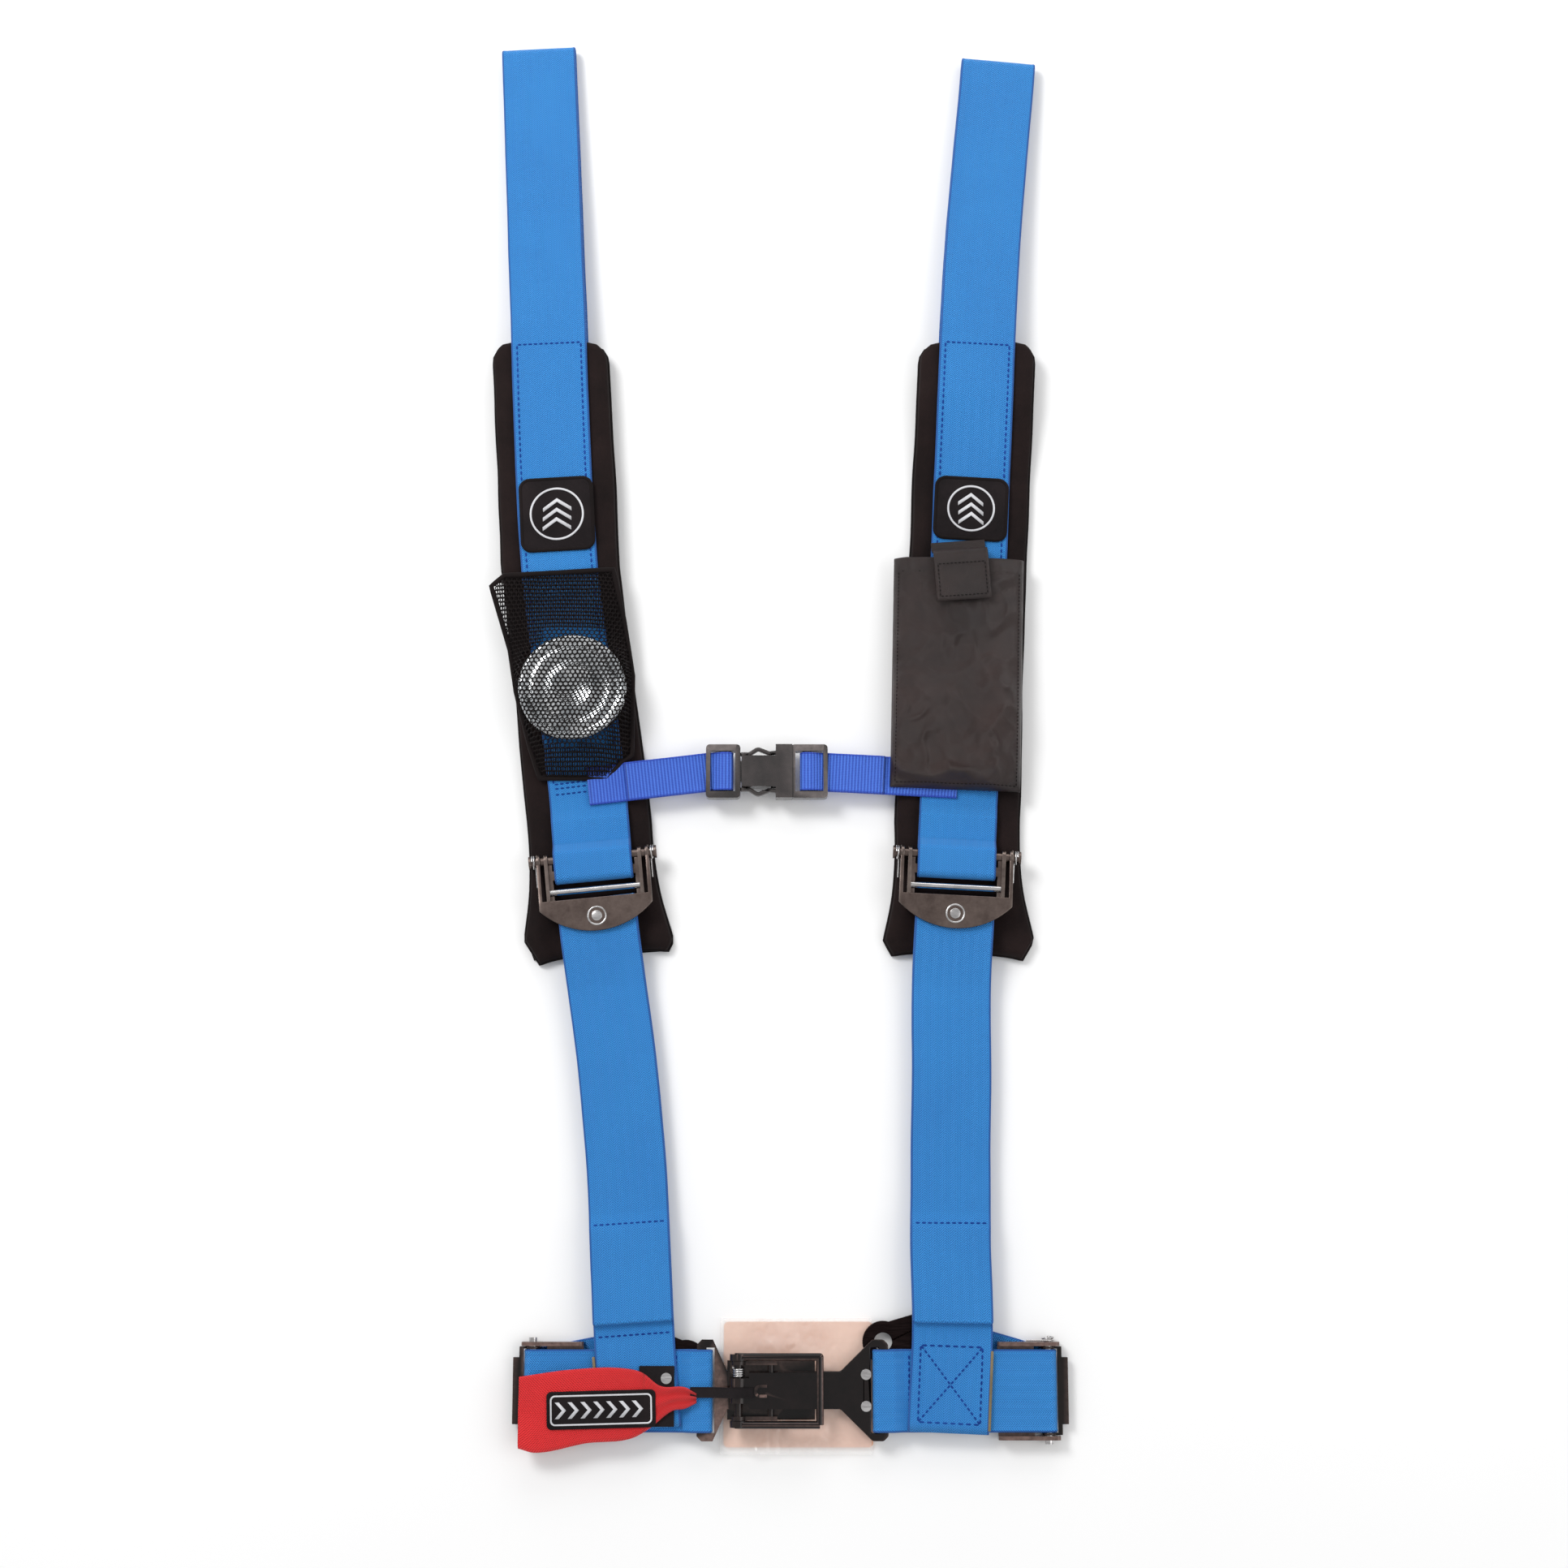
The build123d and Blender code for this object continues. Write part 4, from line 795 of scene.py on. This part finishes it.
def load_height(y):
    lap_top = LAP_RUN_Z + WEB_THICK + REST_GAP / 2
    under_bar = PIN_Z - STRAP_BAR_R - REST_GAP - HALF
    stations = [(-364, lap_top), (-300, lap_top), (-200, lap_top - 3.4), (-80, under_bar), (0, under_bar)]
    for (y0, z0), (y1, z1) in zip(stations, stations[1:]):
        if y0 <= y <= y1:
            return z0 + (z1 - z0) * (y - y0) / (y1 - y0)
    return lap_top


def make_lower_belts():
    layer = WEB_THICK + REST_GAP
    turn_r = STRAP_BAR_R + REST_GAP + HALF
    turn_y = STRAP_BAR_Y + turn_r
    over = PIN_Z + turn_r
    for side in SIDES:
        lap_end = LOWER_LINE[side][-1][1]
        path = [(y, load_height(y)) for y in (lap_end, -300, -200, -80)]
        path += [(turn_y, load_height(0)), (turn_y, over), (-52, over - 0.3)]
        tail = zip((-84, -200, -HEM_START + 4, -HEM_START - 6), (layer, layer, layer, 2 * layer))
        path += [(y, load_height(y) + lift) for y, lift in tail]
        tip = -TAIL_END + HALF
        path += [(tip, load_height(-TAIL_END) + 2 * layer), (tip, load_height(-TAIL_END) + layer)]
        path += [(-HEM_START - 8, load_height(-HEM_START) + layer)]
        radii = [8, 40, 40, turn_r - 0.1, turn_r - 0.1, 20, 30, 30, 8, 8, 1.2, 1.2]
        path = rounded(path, radii)
        plan = lambda u, line=LOWER_LINE[side]: spline_at([(0, 4), *line], u)
        place = placed(*ADJUSTER_PLACE[side])
        belt = ribbon(f"{side}_lower_belt", path, plan, place=place, wander=0.6)
        dress(belt, f"{side}_half", "belt_webbing", "belt_webbing", f"{side}_lower_strap")
        inset = WEB_WIDTH / 2 - 2.5
        chunks = seam(belt_seam(path, plan, place, [(-inset, -HEM_START - 3), (inset, -HEM_START - 3)]))
        load = [p for p in path if p.x < -TAIL_END + 1 or p is path[0]]
        low, high = lap_end + 4, -TAIL_END - 14
        if side == "right":
            wide = WEB_WIDTH / 2 - 6
            outline = [(-wide, low + 2), (wide, low + 2), (wide, high), (-wide, high), (-wide, low + 2)]
            for shape in (outline, [(-wide, low + 2), (wide, high)], [(wide, low + 2), (-wide, high)]):
                chunks += seam(belt_seam(load, plan, place, shape))
        else:
            chunks += seam(belt_seam(load, plan, place, [(-inset, -TAIL_END - 7), (inset, -TAIL_END - 7)]))
        dress(joined(f"{side}_belt_stitching", chunks), f"{side}_half", "belt_webbing", "blue_thread")


def make_lap_belts():
    for side, s in SIDES.items():
        slot = SLOT_X[side]
        bar_x = LAP_ADJUSTER_X[side]
        low_layer = PLATE_Z - REST_GAP - HALF
        high_layer = PLATE_Z + PLATE_THICK + REST_GAP + HALF
        turn_x = slot - s * (TURN_GAP + HALF)
        wrap = LAP_BAR_Z - HALF
        points = [
            (slot + s * 28, low_layer + SEW_BITE),
            (slot + s * 18, low_layer + SEW_BITE),
            (slot + s * 12, low_layer),
            (turn_x, low_layer),
            (turn_x, high_layer),
            (slot + s * (TAB_BAR + 3), high_layer),
            (slot + s * (TAB_BAR + 9), LAP_RUN_Z),
            (bar_x + s * wrap, LAP_RUN_Z),
            (bar_x + s * wrap, HALF),
            (bar_x - s * 8, HALF),
        ]
        turn_r = (high_layer - low_layer) / 2 - 0.05
        path = rounded(points, [2, 2, turn_r, turn_r, 3, 3, wrap - 0.3, wrap - 0.3])
        place = placed(0, LAP_Y, -90)
        front = ribbon_data(path, lambda u: 0.0, WEB_WIDTH, WEB_THICK, place, 0.3, s * 3.1)
        rear = LAP_REAR[side]
        rear_path = rounded(tab_return(-rear, 1) + [(-3, HALF)], [2, 2, TAB_TURN_R, TAB_TURN_R])
        turned = 90 + LAP_TURN["left"] if side == "left" else -90 - LAP_TURN["right"]
        rear_place = placed(bar_x, LAP_Y, turned)
        sewn = (WEB_WIDTH - 0.4, WEB_THICK - 0.04)
        back = ribbon_data(rear_path, lambda u: 0.0, *sewn, rear_place, 0.2, s * 5.3)
        belt = joined(f"{side}_lap_belt", [front, back], True)
        dress(belt, f"{side}_half", "belt_webbing", "belt_webbing", f"{side}_lap_strap")
        chunks = []
        inset = WEB_WIDTH / 2 - 3
        for u in (slot + s * (TAB_BAR + 13), slot + s * (TAB_BAR + 24)):
            chunks += seam(belt_seam(path, lambda u: 0.0, place, [(-inset, u), (inset, u)]))
        dress(joined(f"{side}_lap_stitching", chunks), f"{side}_half", "belt_webbing", "blue_thread")


def make_chest_belts():
    half = CHEST_THICK / 2
    for side, s in SIDES.items():
        bar_x, turned, sewn, tail = CHEST_ENDS[side]
        z = BUCKLE_Z
        reach = CHEST_BAR_R + REST_GAP + half
        merge = bar_x + s * 9
        low_mid = PAD_THICK + WEB_THICK + 0.1 + half
        high_mid = low_mid + CHEST_THICK + 0.05
        turn_x = bar_x - s * reach
        points = [
            (merge + s * sewn, low_mid),
            (merge, low_mid),
            (merge - s * 6, z - reach),
            (turn_x, z - reach),
            (turn_x, z + reach),
            (merge - s * 6, z + reach),
            (merge, high_mid),
            (merge + s * tail, high_mid),
        ]
        path = rounded(points, [2, 2, reach - 0.1, reach - 0.1, 2, 2], step=4)
        lean = tan(radians(turned))
        pivot = merge + s * 1.0
        plan = lambda u, s=s, lean=lean, pivot=pivot: -lean * max(0.0, s * (u - pivot)) * s
        place = placed(0, BUCKLE_Y, -90)
        belt = ribbon(f"{side}_chest_belt", path, plan, CHEST_WIDTH, CHEST_THICK, place, 0.15)
        dress(belt, f"{side}_half", "chest_webbing", "chest_webbing", f"chest_strap_{side}")


# ---------------------------------------------------------------- shoulder pads
def pad_middle(side, y):
    drift = 0.09 * (-70 - y) if side == "left" and y < -70 else 0
    points = SHOULDER_LINE[side][:3] + [((-119, -70) if side == "left" else (122, -70))]
    for (x0, y0), (x1, y1) in zip(points, points[1:]):
        if y1 <= y <= y0:
            return x0 + (x1 - x0) * (y0 - y) / (y0 - y1) + drift
    return points[-1][0] + drift


SPREAD = [(0, PAD_TOP), (0, 150), (0, 40), (1.5, -50), (3.0, -115), (PAD_FLARE, PAD_BOTTOM + 8)]


def make_pads():
    """Padded covers: puffy margins beside the belt, rounded edges and soft ears at the foot."""
    rows, cols = 170, 48
    corner = 14.0
    for side, s in SIDES.items():
        verts = []
        tilt = 4.5 if side == "left" else 1.5
        for layer in (1, 0):
            for i in range(rows + 1):
                v = i / rows
                for k in range(cols + 1):
                    t = -cos(pi * k / cols) * 0.5 + (2 * k / cols - 1) * 0.5
                    ear = PAD_BOTTOM - tilt * t * s - 3.0 * abs(t) ** 3
                    y = ear + (PAD_TOP - ear) * v
                    spread = spline_at(SPREAD, max(y, PAD_BOTTOM + 8))
                    reach = PAD_HALF + spread - 4.5 * max(0, (PAD_BOTTOM + 8 - y) / 8)
                    gap = y - (PAD_TOP - corner)
                    if gap > 0:
                        reach -= corner - (max(corner**2 - gap**2, 0)) ** 0.5
                    wave = 0.7 * ripple(y * 0.03, t * 0.6, s * 7.0)
                    x = pad_middle(side, y) + t * (reach + wave * abs(t) ** 3)
                    near = 1 - max(abs(t), abs(2 * v - 1) ** 7 * 0.999) ** 14
                    edge = max(near, 0) ** (1 / 9)
                    base = pad_base(side, y)
                    if layer:
                        puff = 0.9 * max(0, 1 - abs(abs(t) - 0.8) / 0.16) ** 0.7
                        crease = ripple(x * 0.07, y * 0.035, s * 3.0)
                        foot = min(1, max(0, -125 - y) / 12)
                        loose = 0.5 * crease * (abs(t) > 0.62) + 1.3 * crease * foot
                        z = base + 1.4 + (6.3 + puff + loose) * edge
                    else:
                        z = base + 0.5 * min(1, (1 - abs(t)) * 18) + 0.6 * (1 - edge)
                    verts.append((x, y, z))
        pad = make_mesh(f"{side}_pad", verts, shell_faces(rows, cols))
        replaced = (f"{side}_pad_cover", f"{side}_pad_foam")
        dress(pad, f"{side}_half", "pad_fabric", "pad_fabric", *replaced)
        edge_line = []
        low = (rows + 1) * (cols + 1)
        for a in rim_of(rows, cols)[::2]:
            p, q = Vector(verts[a]), Vector(verts[low + a])
            edge_line.append((p + q) / 2 + Vector((0, 0, 0.35)))
        cord = make_mesh(f"{side}_pad_edge", *tube_data(edge_line, 1.15, 6))
        dress(cord, f"{side}_half", "pad_fabric", "binding")


# ---------------------------------------------------------------- patches and label
def ring_data(outline_low, outline_high, z, lift):
    """Flat raised band between two outlines with the same number of points."""
    n = len(outline_low)
    verts = [(x, y, z) for x, y in outline_low] + [(x, y, z) for x, y in outline_high]
    verts += [(x, y, z + lift) for x, y in outline_low] + [(x, y, z + lift) for x, y in outline_high]
    faces = []
    for k in range(n):
        j = (k + 1) % n
        faces += [(2 * n + k, 2 * n + j, 3 * n + j, 3 * n + k), (k, n + k, n + j, j)]
        faces += [(k, j, 2 * n + j, 2 * n + k), (n + k, 3 * n + k, 3 * n + j, n + j)]
    return verts, faces


def circle(cx, cy, r):
    n = 48
    return [(cx + r * cos(2 * pi * k / n), cy + r * sin(2 * pi * k / n)) for k in range(n)]


def chevron(cx, cy, w, h, thick, z, lift, turned=0.0):
    """Raised V, pointing up before it is turned."""
    upper = [(-w / 2, -h / 2), (0, h / 2), (w / 2, -h / 2)]
    flat = upper + [(x, y - thick) for x, y in reversed(upper)]
    points = spun(flat, cx, cy, turned)
    n = len(points)
    verts = [(x, y, z) for x, y in points] + [(x, y, z + lift) for x, y in points]
    faces = [(0, 1, 4, 5), (1, 2, 3, 4), (n + 5, n + 4, n + 1, n), (n + 4, n + 3, n + 2, n + 1)]
    faces += ring_quads(0, n, n)
    return verts, faces


def make_patches():
    """Woven patches with a merrowed rim and a plain ring-and-chevron device."""
    for side in SIDES:
        low, high = (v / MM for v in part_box(f"{side}_emblem_patch"))
        cx, cy = (low.x + high.x) / 2, (low.y + high.y) / 2
        w, h, z = high.x - low.x, high.y - low.y, high.z
        turned = 3.4 if side == "left" else -3.4
        body = f"{side}_half"
        outline = soft_rectangle(cx, cy, w - 1.4, h - 1.4, 6, turned)
        plate = make_mesh(f"{side}_patch", *plate_data(outline, low.z, z - 0.1))
        dress(plate, body, "patch_fabric", "patch_fabric", f"{side}_emblem_patch")
        rim = [Vector((x, y, z - 0.75)) for x, y in soft_rectangle(cx, cy, w - 1.8, h - 1.8, 6, turned)]
        border = make_mesh(f"{side}_patch_rim", *tube_data(rim, 1.35, 8, 0.75))
        dress(border, body, "patch_fabric", "binding")
        r = min(w, h) * 0.37
        chunks = [ring_data(circle(cx, cy, r - 1.3), circle(cx, cy, r), z - 0.12, 0.35)]
        for shift in (-7.5, -1.0, 5.5):
            chunks.append(chevron(cx, cy + shift + 2, r * 1.05, 6.5, 2.6, z - 0.12, 0.35, turned))
        dress(joined(f"{side}_patch_device", chunks), body, "patch_fabric", "pale_thread")


def make_release():
    """Red pull strap pinched to a neck, with its label and the link to the latch lever."""
    upper = [(-424.0, -157), (-419.5, -123), (-418.8, -92), (-421.5, -80)]
    upper += [(-429.4, -69), (-430.4, -53), (-434.0, -46)]
    lower = [(-467.5, -157), (-470.0, -147), (-464.3, -114), (-461.3, -86)]
    lower += [(-456.0, -76), (-444.8, -61), (-443.4, -53), (-440.0, -46)]
    start, run = -157, 111
    rows, cols = 110, 34
    verts, uvs = [], []
    for layer in (1, 0):
        for i in range(rows + 1):
            x = start + run * i / rows
            top, foot = spline_at(upper, x), spline_at(lower, x)
            pinch = 1 - min(1, (top - foot) / 44)
            for k in range(cols + 1):
                t = k / cols
                y = foot + (top - foot) * t
                sway = 1.2 * ripple(y * 0.05, 4.0, 0) * (i < 8)
                fold = 0.9 * pinch * sin(t * 5 * pi) + 0.35 * ripple(x * 0.05, y * 0.08, 2)
                edge = (1 - abs(2 * t - 1) ** 16) ** 0.25
                rise = 2.2 + max(-0.4, fold) * (abs(x + 105) > 36 or pinch > 0.1)
                z = RELEASE_Z + (rise * (0.35 + 0.65 * edge) if layer else 0.1 + 0.5 * (1 - edge))
                verts.append((x + sway, y, z))
                uvs.append(((t - 0.5) * (44 if pinch < 0.2 else 30), x))
    strap = make_mesh("red_strap", verts, shell_faces(rows, cols), uvs)
    dress(strap, "left_half", "red_webbing", "red_webbing", "release_strap")

    cx, cy, turned = -105.3, -443.8, 1.5
    z = RELEASE_Z + WEB_THICK + 0.8
    plate = make_mesh("label", *plate_data(soft_rectangle(cx, cy, 68, 23, 3, turned), z - 1.2, z))
    dress(plate, "left_half", "label_fabric", "patch_fabric", "release_label")
    inner = soft_rectangle(cx, cy, 61.5, 16.5, 2.2, turned)
    outer = soft_rectangle(cx, cy, 63.5, 18.5, 3, turned)
    chunks = [ring_data(inner, outer, z - 0.05, 0.3)]
    for k in range(7):
        spot = (cx - 24 + 8 * k, cy + 0.21 * (k - 3))
        chunks.append(chevron(*spot, 10, 4.5, 2.6, z - 0.05, 0.3, -90 + turned))
    dress(joined("label_device", chunks), "left_half", "label_fabric", "pale_thread")
    border = [Vector((x, y, z + 0.1)) for x, y in soft_rectangle(cx, cy, 65.8, 20.8, 3, turned)]
    stitch = joined("label_stitching", seam(border + border[:1], 2.6, 0.7, 0.3))
    dress(stitch, "left_half", "label_fabric", "dark_thread")

    web_top = PLATE_Z + PLATE_THICK + 2 * 2.0 + REST_GAP + 0.3 + 2.2
    route = [(-50, RELEASE_Z + HALF), (-45.9, RELEASE_Z + HALF), (-34, RELEASE_Z + 2.2)]
    route += [(-26, 20.5), (-16, 20.5), (-10.3, web_top + 0.9)]
    path = rounded(route, [8, 8, 8, 5], 1.5)
    link = ribbon("latch_link", path, lambda u: 0.5, 6.5, 1.4, placed(0, -433, -90), 0)
    dress(link, "left_half", "hook_loop", "hook_loop", "release_cord")
    link.parent = None
    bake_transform(link)


# ---------------------------------------------------------------- pockets, tin and card
def weld_doubles(tool):
    bmesh.ops.remove_doubles(tool, verts=tool.verts, dist=0.00002)


def lathe(name, profile, centre):
    """Object turned from (radius, height) points."""
    sides = 96
    n = len(profile)
    verts, faces = [], []
    for k in range(sides):
        a = 2 * pi * k / sides
        verts += [(centre[0] + r * cos(a), centre[1] + r * sin(a), z) for r, z in profile]
    for k in range(sides):
        j = (k + 1) % sides
        faces += [(k * n + i, k * n + i + 1, j * n + i + 1, j * n + i) for i in range(n - 1)]
    piece = make_mesh(name, verts, faces)
    rework(piece.data, weld_doubles, even_normals)
    return piece


def make_tin():
    high = TIN_TOP
    lid_low = high - 7
    profile = [(0.001, high - 0.9), (11, high - 0.9), (12, high - 0.3), (14, high - 0.2), (15, high - 0.8)]
    profile += [(23, high - 0.9), (24, high - 0.4), (26, high - 0.3), (27, high - 0.9), (30.5, high - 0.9)]
    profile += [(31.5, high - 0.1), (33.4, high), (34.5, high - 0.5), (35, high - 1.4), (35, lid_low + 1.6)]
    profile += [(35.2, lid_low + 1.2), (35.2, lid_low + 0.4), (34.8, lid_low), (34.3, lid_low)]
    profile += [(34.3, high - 1.8), (0.001, high - 1.8)]
    lid = lathe("tin_cover", profile, TIN_CENTRE)
    dress(lid, "left_half", "tin_metal", "tin_metal", "tin_lid")


POCKET = [(-176, 91), (-184.5, 84), (-172, 42), (-167.5, 14), (-158, -22), (-151, -43.5)]
POCKET += [(-107, -43.5), (-98, -33), (-91, -28), (-91, 25), (-97, 62), (-104, 95)]


def edge_distance(x, y, polygon):
    """Distance to the outline, negative outside it."""
    inside = False
    best = 1e9
    for (x0, y0), (x1, y1) in zip(polygon, polygon[1:] + polygon[:1]):
        if (y0 > y) != (y1 > y) and x < (x1 - x0) * (y - y0) / (y1 - y0) + x0:
            inside = not inside
        t = max(0, min(1, ((x - x0) * (x1 - x0) + (y - y0) * (y1 - y0)) / ((x1 - x0) ** 2 + (y1 - y0) ** 2)))
        best = min(best, hypot(x - x0 - t * (x1 - x0), y - y0 - t * (y1 - y0)))
    return best if inside else -best


def drape(x, y, lift=0.0):
    """Height of the net: tight over the tin, falling to the belt at its edges, open at the top."""
    rest = pad_base("left", y) + PAD_THICK + WEB_THICK + 1.0 + lift
    off_tin = max(0.0, hypot(x - TIN_CENTRE[0], y - TIN_CENTRE[1]) - TIN_R - 0.6)
    to_edge = max(0.0, edge_distance(x, y, POCKET))
    share = (to_edge / (to_edge + off_tin)) ** 0.9 if to_edge + off_tin > 0 else 1
    top = TIN_TOP + 0.75 + lift
    gather = 0.8 * ripple(x * 0.09, y * 0.03, 5) * min(1, off_tin / 8)
    return rest + (top - rest) * share + gather


def net_data(pitch, shift, keep, lift):
    """Hexagon cells over the pocket, as faces that the wireframe modifier turns into threads."""
    radius = pitch / 3**0.5
    verts, faces, seen = [], [], {}
    y, line = -46.0, 0
    while y < 98:
        x = -188.0 + (pitch / 2 if line % 2 else 0) + shift
        while x < -86:
            if edge_distance(x, y, POCKET) > pitch * 0.35 and keep(x, y):
                face = []
                for k in range(6):
                    a = radians(60 * k + 30)
                    px, py = x + radius * cos(a), y + radius * sin(a)
                    key = (round(px * 10), round(py * 10))
                    if key not in seen:
                        seen[key] = len(verts)
                        sway = ripple(px * 0.05, py * 0.05, 9) * 0.7
                        verts.append((px + sway, py + sway * 0.6, drape(px, py, lift)))
                    face.append(seen[key])
                faces.append(tuple(face))
            x += pitch
        y += radius * 1.5
        line += 1
    return verts, faces


def drop_loose(tool):
    bmesh.ops.delete(tool, geom=[v for v in tool.verts if not v.link_faces], context="VERTS")


def make_net_pocket():
    for name, pitch, shift, lift, thick, keep in (
        ("net_front", 3.1, 0.0, 0.0, 0.95, lambda x, y: True),
        ("net_hem", 3.1, 1.5, -1.1, 1.1, lambda x, y: y > 55 or y < -24 or x < -150 or x > -106),
    ):
        verts, faces = net_data(pitch, shift, keep, lift)
        if name == "net_hem":
            corner = {f: verts[f[0]] for f in faces}
            off = {f: hypot(x - TIN_CENTRE[0], y - TIN_CENTRE[1]) for f, (x, y, z) in corner.items()}
            faces = [f for f in faces if off[f] > TIN_R + 3]
        net = make_mesh(name, verts, faces)
        rework(net.data, drop_loose)
        wire = net.modifiers.new("threads", "WIREFRAME")
        wire.thickness = thick * MM
        wire.use_even_offset = False
        replaced = ["mesh_pocket"] if name == "net_front" else []
        dress(net, "left_half", "mesh_fabric", "mesh_fabric", *replaced)
    outline = []
    for (x0, y0), (x1, y1) in zip(POCKET, POCKET[1:] + POCKET[:1]):
        pieces = max(1, round(hypot(x1 - x0, y1 - y0) / 4))
        for k in range(pieces):
            share = k / pieces
            outline.append(Vector((x0 + (x1 - x0) * share, y0 + (y1 - y0) * share, 0)))
    for p in outline:
        p.z = drape(p.x, p.y) + 0.3
    bound = make_mesh("net_binding", *tube_data(outline, 1.7, 8, 0.6))
    dress(bound, "left_half", "mesh_fabric", "binding")


POUCH = ((77.8, -49.5), (162.7, -53.0), (167.5, 102.0), (81.6, 103.6))
POUCH_LOW = 12.5


def pouch_point(s, t):
    (ax, ay), (bx, by), (cx, cy), (dx, dy) = POUCH
    low = Vector((ax + (bx - ax) * s, ay + (by - ay) * s))
    high = Vector((dx + (cx - dx) * s, dy + (cy - dy) * s))
    return low.lerp(high, t)


def pouch_height(s, t):
    p = pouch_point(s, t)
    sides = (1 - abs(2 * s - 1) ** 5) ** 0.55
    foot = min(1, t / 0.09) ** 0.5 if t > 0 else 0
    mouth = 1 - 0.12 * max(0, (t - 0.8) / 0.2) ** 2
    big = ripple(p.x * 0.022, p.y * 0.016, 1.7)
    ridge = 1 - abs(ripple(p.x * 0.03 + p.y * 0.014, p.y * 0.028 - p.x * 0.008, 8.2)) * 2.4
    fine = 1 - abs(ripple(p.x * 0.07 + 3, p.y * 0.06, 2.2)) * 2.2
    calm = 0.35 + 0.65 * max(0, 1 - t * 1.15)
    folds = 3.2 * big + calm * (6.5 * max(0, ridge - 0.35) + 3.0 * max(0, fine - 0.4))
    body = 8.3 * sides * foot * mouth + folds * min(1, sides * foot * 1.1)
    return POUCH_LOW + 1.0 + max(body, 0.3 + 0.3 * foot)


def make_pouch():
    rows, cols = 120, 72
    verts = []
    for depth in (0.0, 0.9):
        for i in range(rows + 1):
            for k in range(cols + 1):
                p = pouch_point(k / cols, i / rows)
                hem = 0.45 if i > rows - 8 else 0
                z = pouch_height(k / cols, i / rows)
                verts.append((p.x, p.y, z + hem if not depth else max(POUCH_LOW + 0.9, z - depth)))
    front = make_mesh("pouch_front", verts, shell_faces(rows, cols))
    dress(front, "right_half", "pouch_fabric", "pouch_fabric", "phone_pouch")
    back = make_mesh("pouch_back", *plate_data([tuple(p) for p in POUCH], POUCH_LOW, POUCH_LOW + 0.9, 0.2))
    dress(back, "right_half", "pouch_fabric", "pouch_fabric")

    def stitch_line(s0, t0, s1, t1):
        points = []
        for k in range(31):
            s, t = s0 + (s1 - s0) * k / 30, t0 + (t1 - t0) * k / 30
            p = pouch_point(s, t)
            points.append(Vector((p.x, p.y, pouch_height(s, t) + 0.12)))
        return points

    chunks = []
    sides = ((0.035, 0.02, 0.035, 0.97), (0.965, 0.02, 0.965, 0.97))
    ends = ((0.035, 0.02, 0.965, 0.02), (0.02, 0.94, 0.98, 0.94))
    for line in sides + ends:
        chunks += seam(stitch_line(*line), 3.0, 0.7, 0.32)
    dress(joined("pouch_stitching", chunks), "right_half", "pouch_fabric", "dark_thread")

    lean = tan(radians(4))
    plan = lambda u: 125.5 - lean * (u - 95)
    path = rounded([(116.2, 12.1), (110, 12.3), (107, 25.4), (73, 26.1)], [2.5, 2.5], 3)
    flap = ribbon("pouch_tab", path, plan, 36, 1.3, Matrix(), 0.5)
    dress(flap, "pouch_flap", "pouch_fabric", "pouch_fabric", "pouch_flap")
    box = [(-15.5, 76), (15.5, 76), (15.5, 98), (-15.5, 98), (-15.5, 76)]
    stitches = joined("pouch_tab_stitching", seam(belt_seam(path, plan, Matrix(), box, 6), 2.8, 0.7, 0.3))
    dress(stitches, "pouch_flap", "pouch_fabric", "dark_thread")


def make_film():
    """Thin clear sheet on the card, crinkled where nothing lies on it."""
    low, high = (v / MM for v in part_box("clear_film"))
    rows, cols = 90, 100
    spare = 3.0
    verts = []
    for i in range(rows + 1):
        for k in range(cols + 1):
            x = low.x - 1 + (high.x + 1 - low.x) * k / cols
            y = low.y - spare + (high.y + 1 - low.y + spare) * i / rows
            free = min(1, max(0, (46 - x) / 14)) * min(1, max(0, (x + 18) / 10))
            broad = max(0, 0.25 + ripple(x * 0.06, y * 0.07, 3))
            crinkle = broad + 0.6 * abs(ripple(x * 0.16, y * 0.12, 6))
            verts.append((x, y, low.z + 0.12 + 2.6 * free * crinkle))
    film = make_mesh("clear_sheet", verts, grid_faces(rows, cols))
    dress(film, "left_half", "clear_film", "clear_film", "clear_film")


def make_lever_badges():
    """Small plain ring and disc on each crescent lever."""
    for side in SIDES:
        place = placed(*ADJUSTER_PLACE[side])
        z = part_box(f"{side}_adjuster_lever")[1].z / MM
        spot = place @ Vector((0, -39.0, 0))
        chunks = [ring_data(circle(spot.x, spot.y, 5.2), circle(spot.x, spot.y, 6.3), z - 0.1, 0.4)]
        chunks.append(plate_data(circle(spot.x, spot.y, 3.4), z - 0.1, z + 0.45, 0.2))
        badge = joined(f"{side}_lever_badge", chunks)
        dress(badge, f"{side}_adjuster_lever", "bright_steel", "bright_steel")


def make_edge_tapes():
    """Thin olive edge beside the end of each lower strap."""
    for side, cx, cy, length, turned in (("left", -109.8, -424, 24, 5.5), ("right", 137.9, -433, 49, -3.0)):
        outline = soft_rectangle(cx, cy, 1.7, length, 0.6, turned)
        tape = make_mesh(f"{side}_edge_tape", *plate_data(outline, LAP_RUN_Z + HALF, LAP_RUN_Z + HALF + 2.6))
        dress(tape, f"{side}_half", "label_fabric", "olive_tape")


# ---------------------------------------------------------------- build
add_camera()
add_studio()
finish_hard_parts()
make_shoulder_belts()
make_lower_belts()
make_lap_belts()
make_chest_belts()
make_pads()
make_patches()
make_release()
make_tin()
make_net_pocket()
make_pouch()
make_film()
make_lever_badges()
make_edge_tapes()
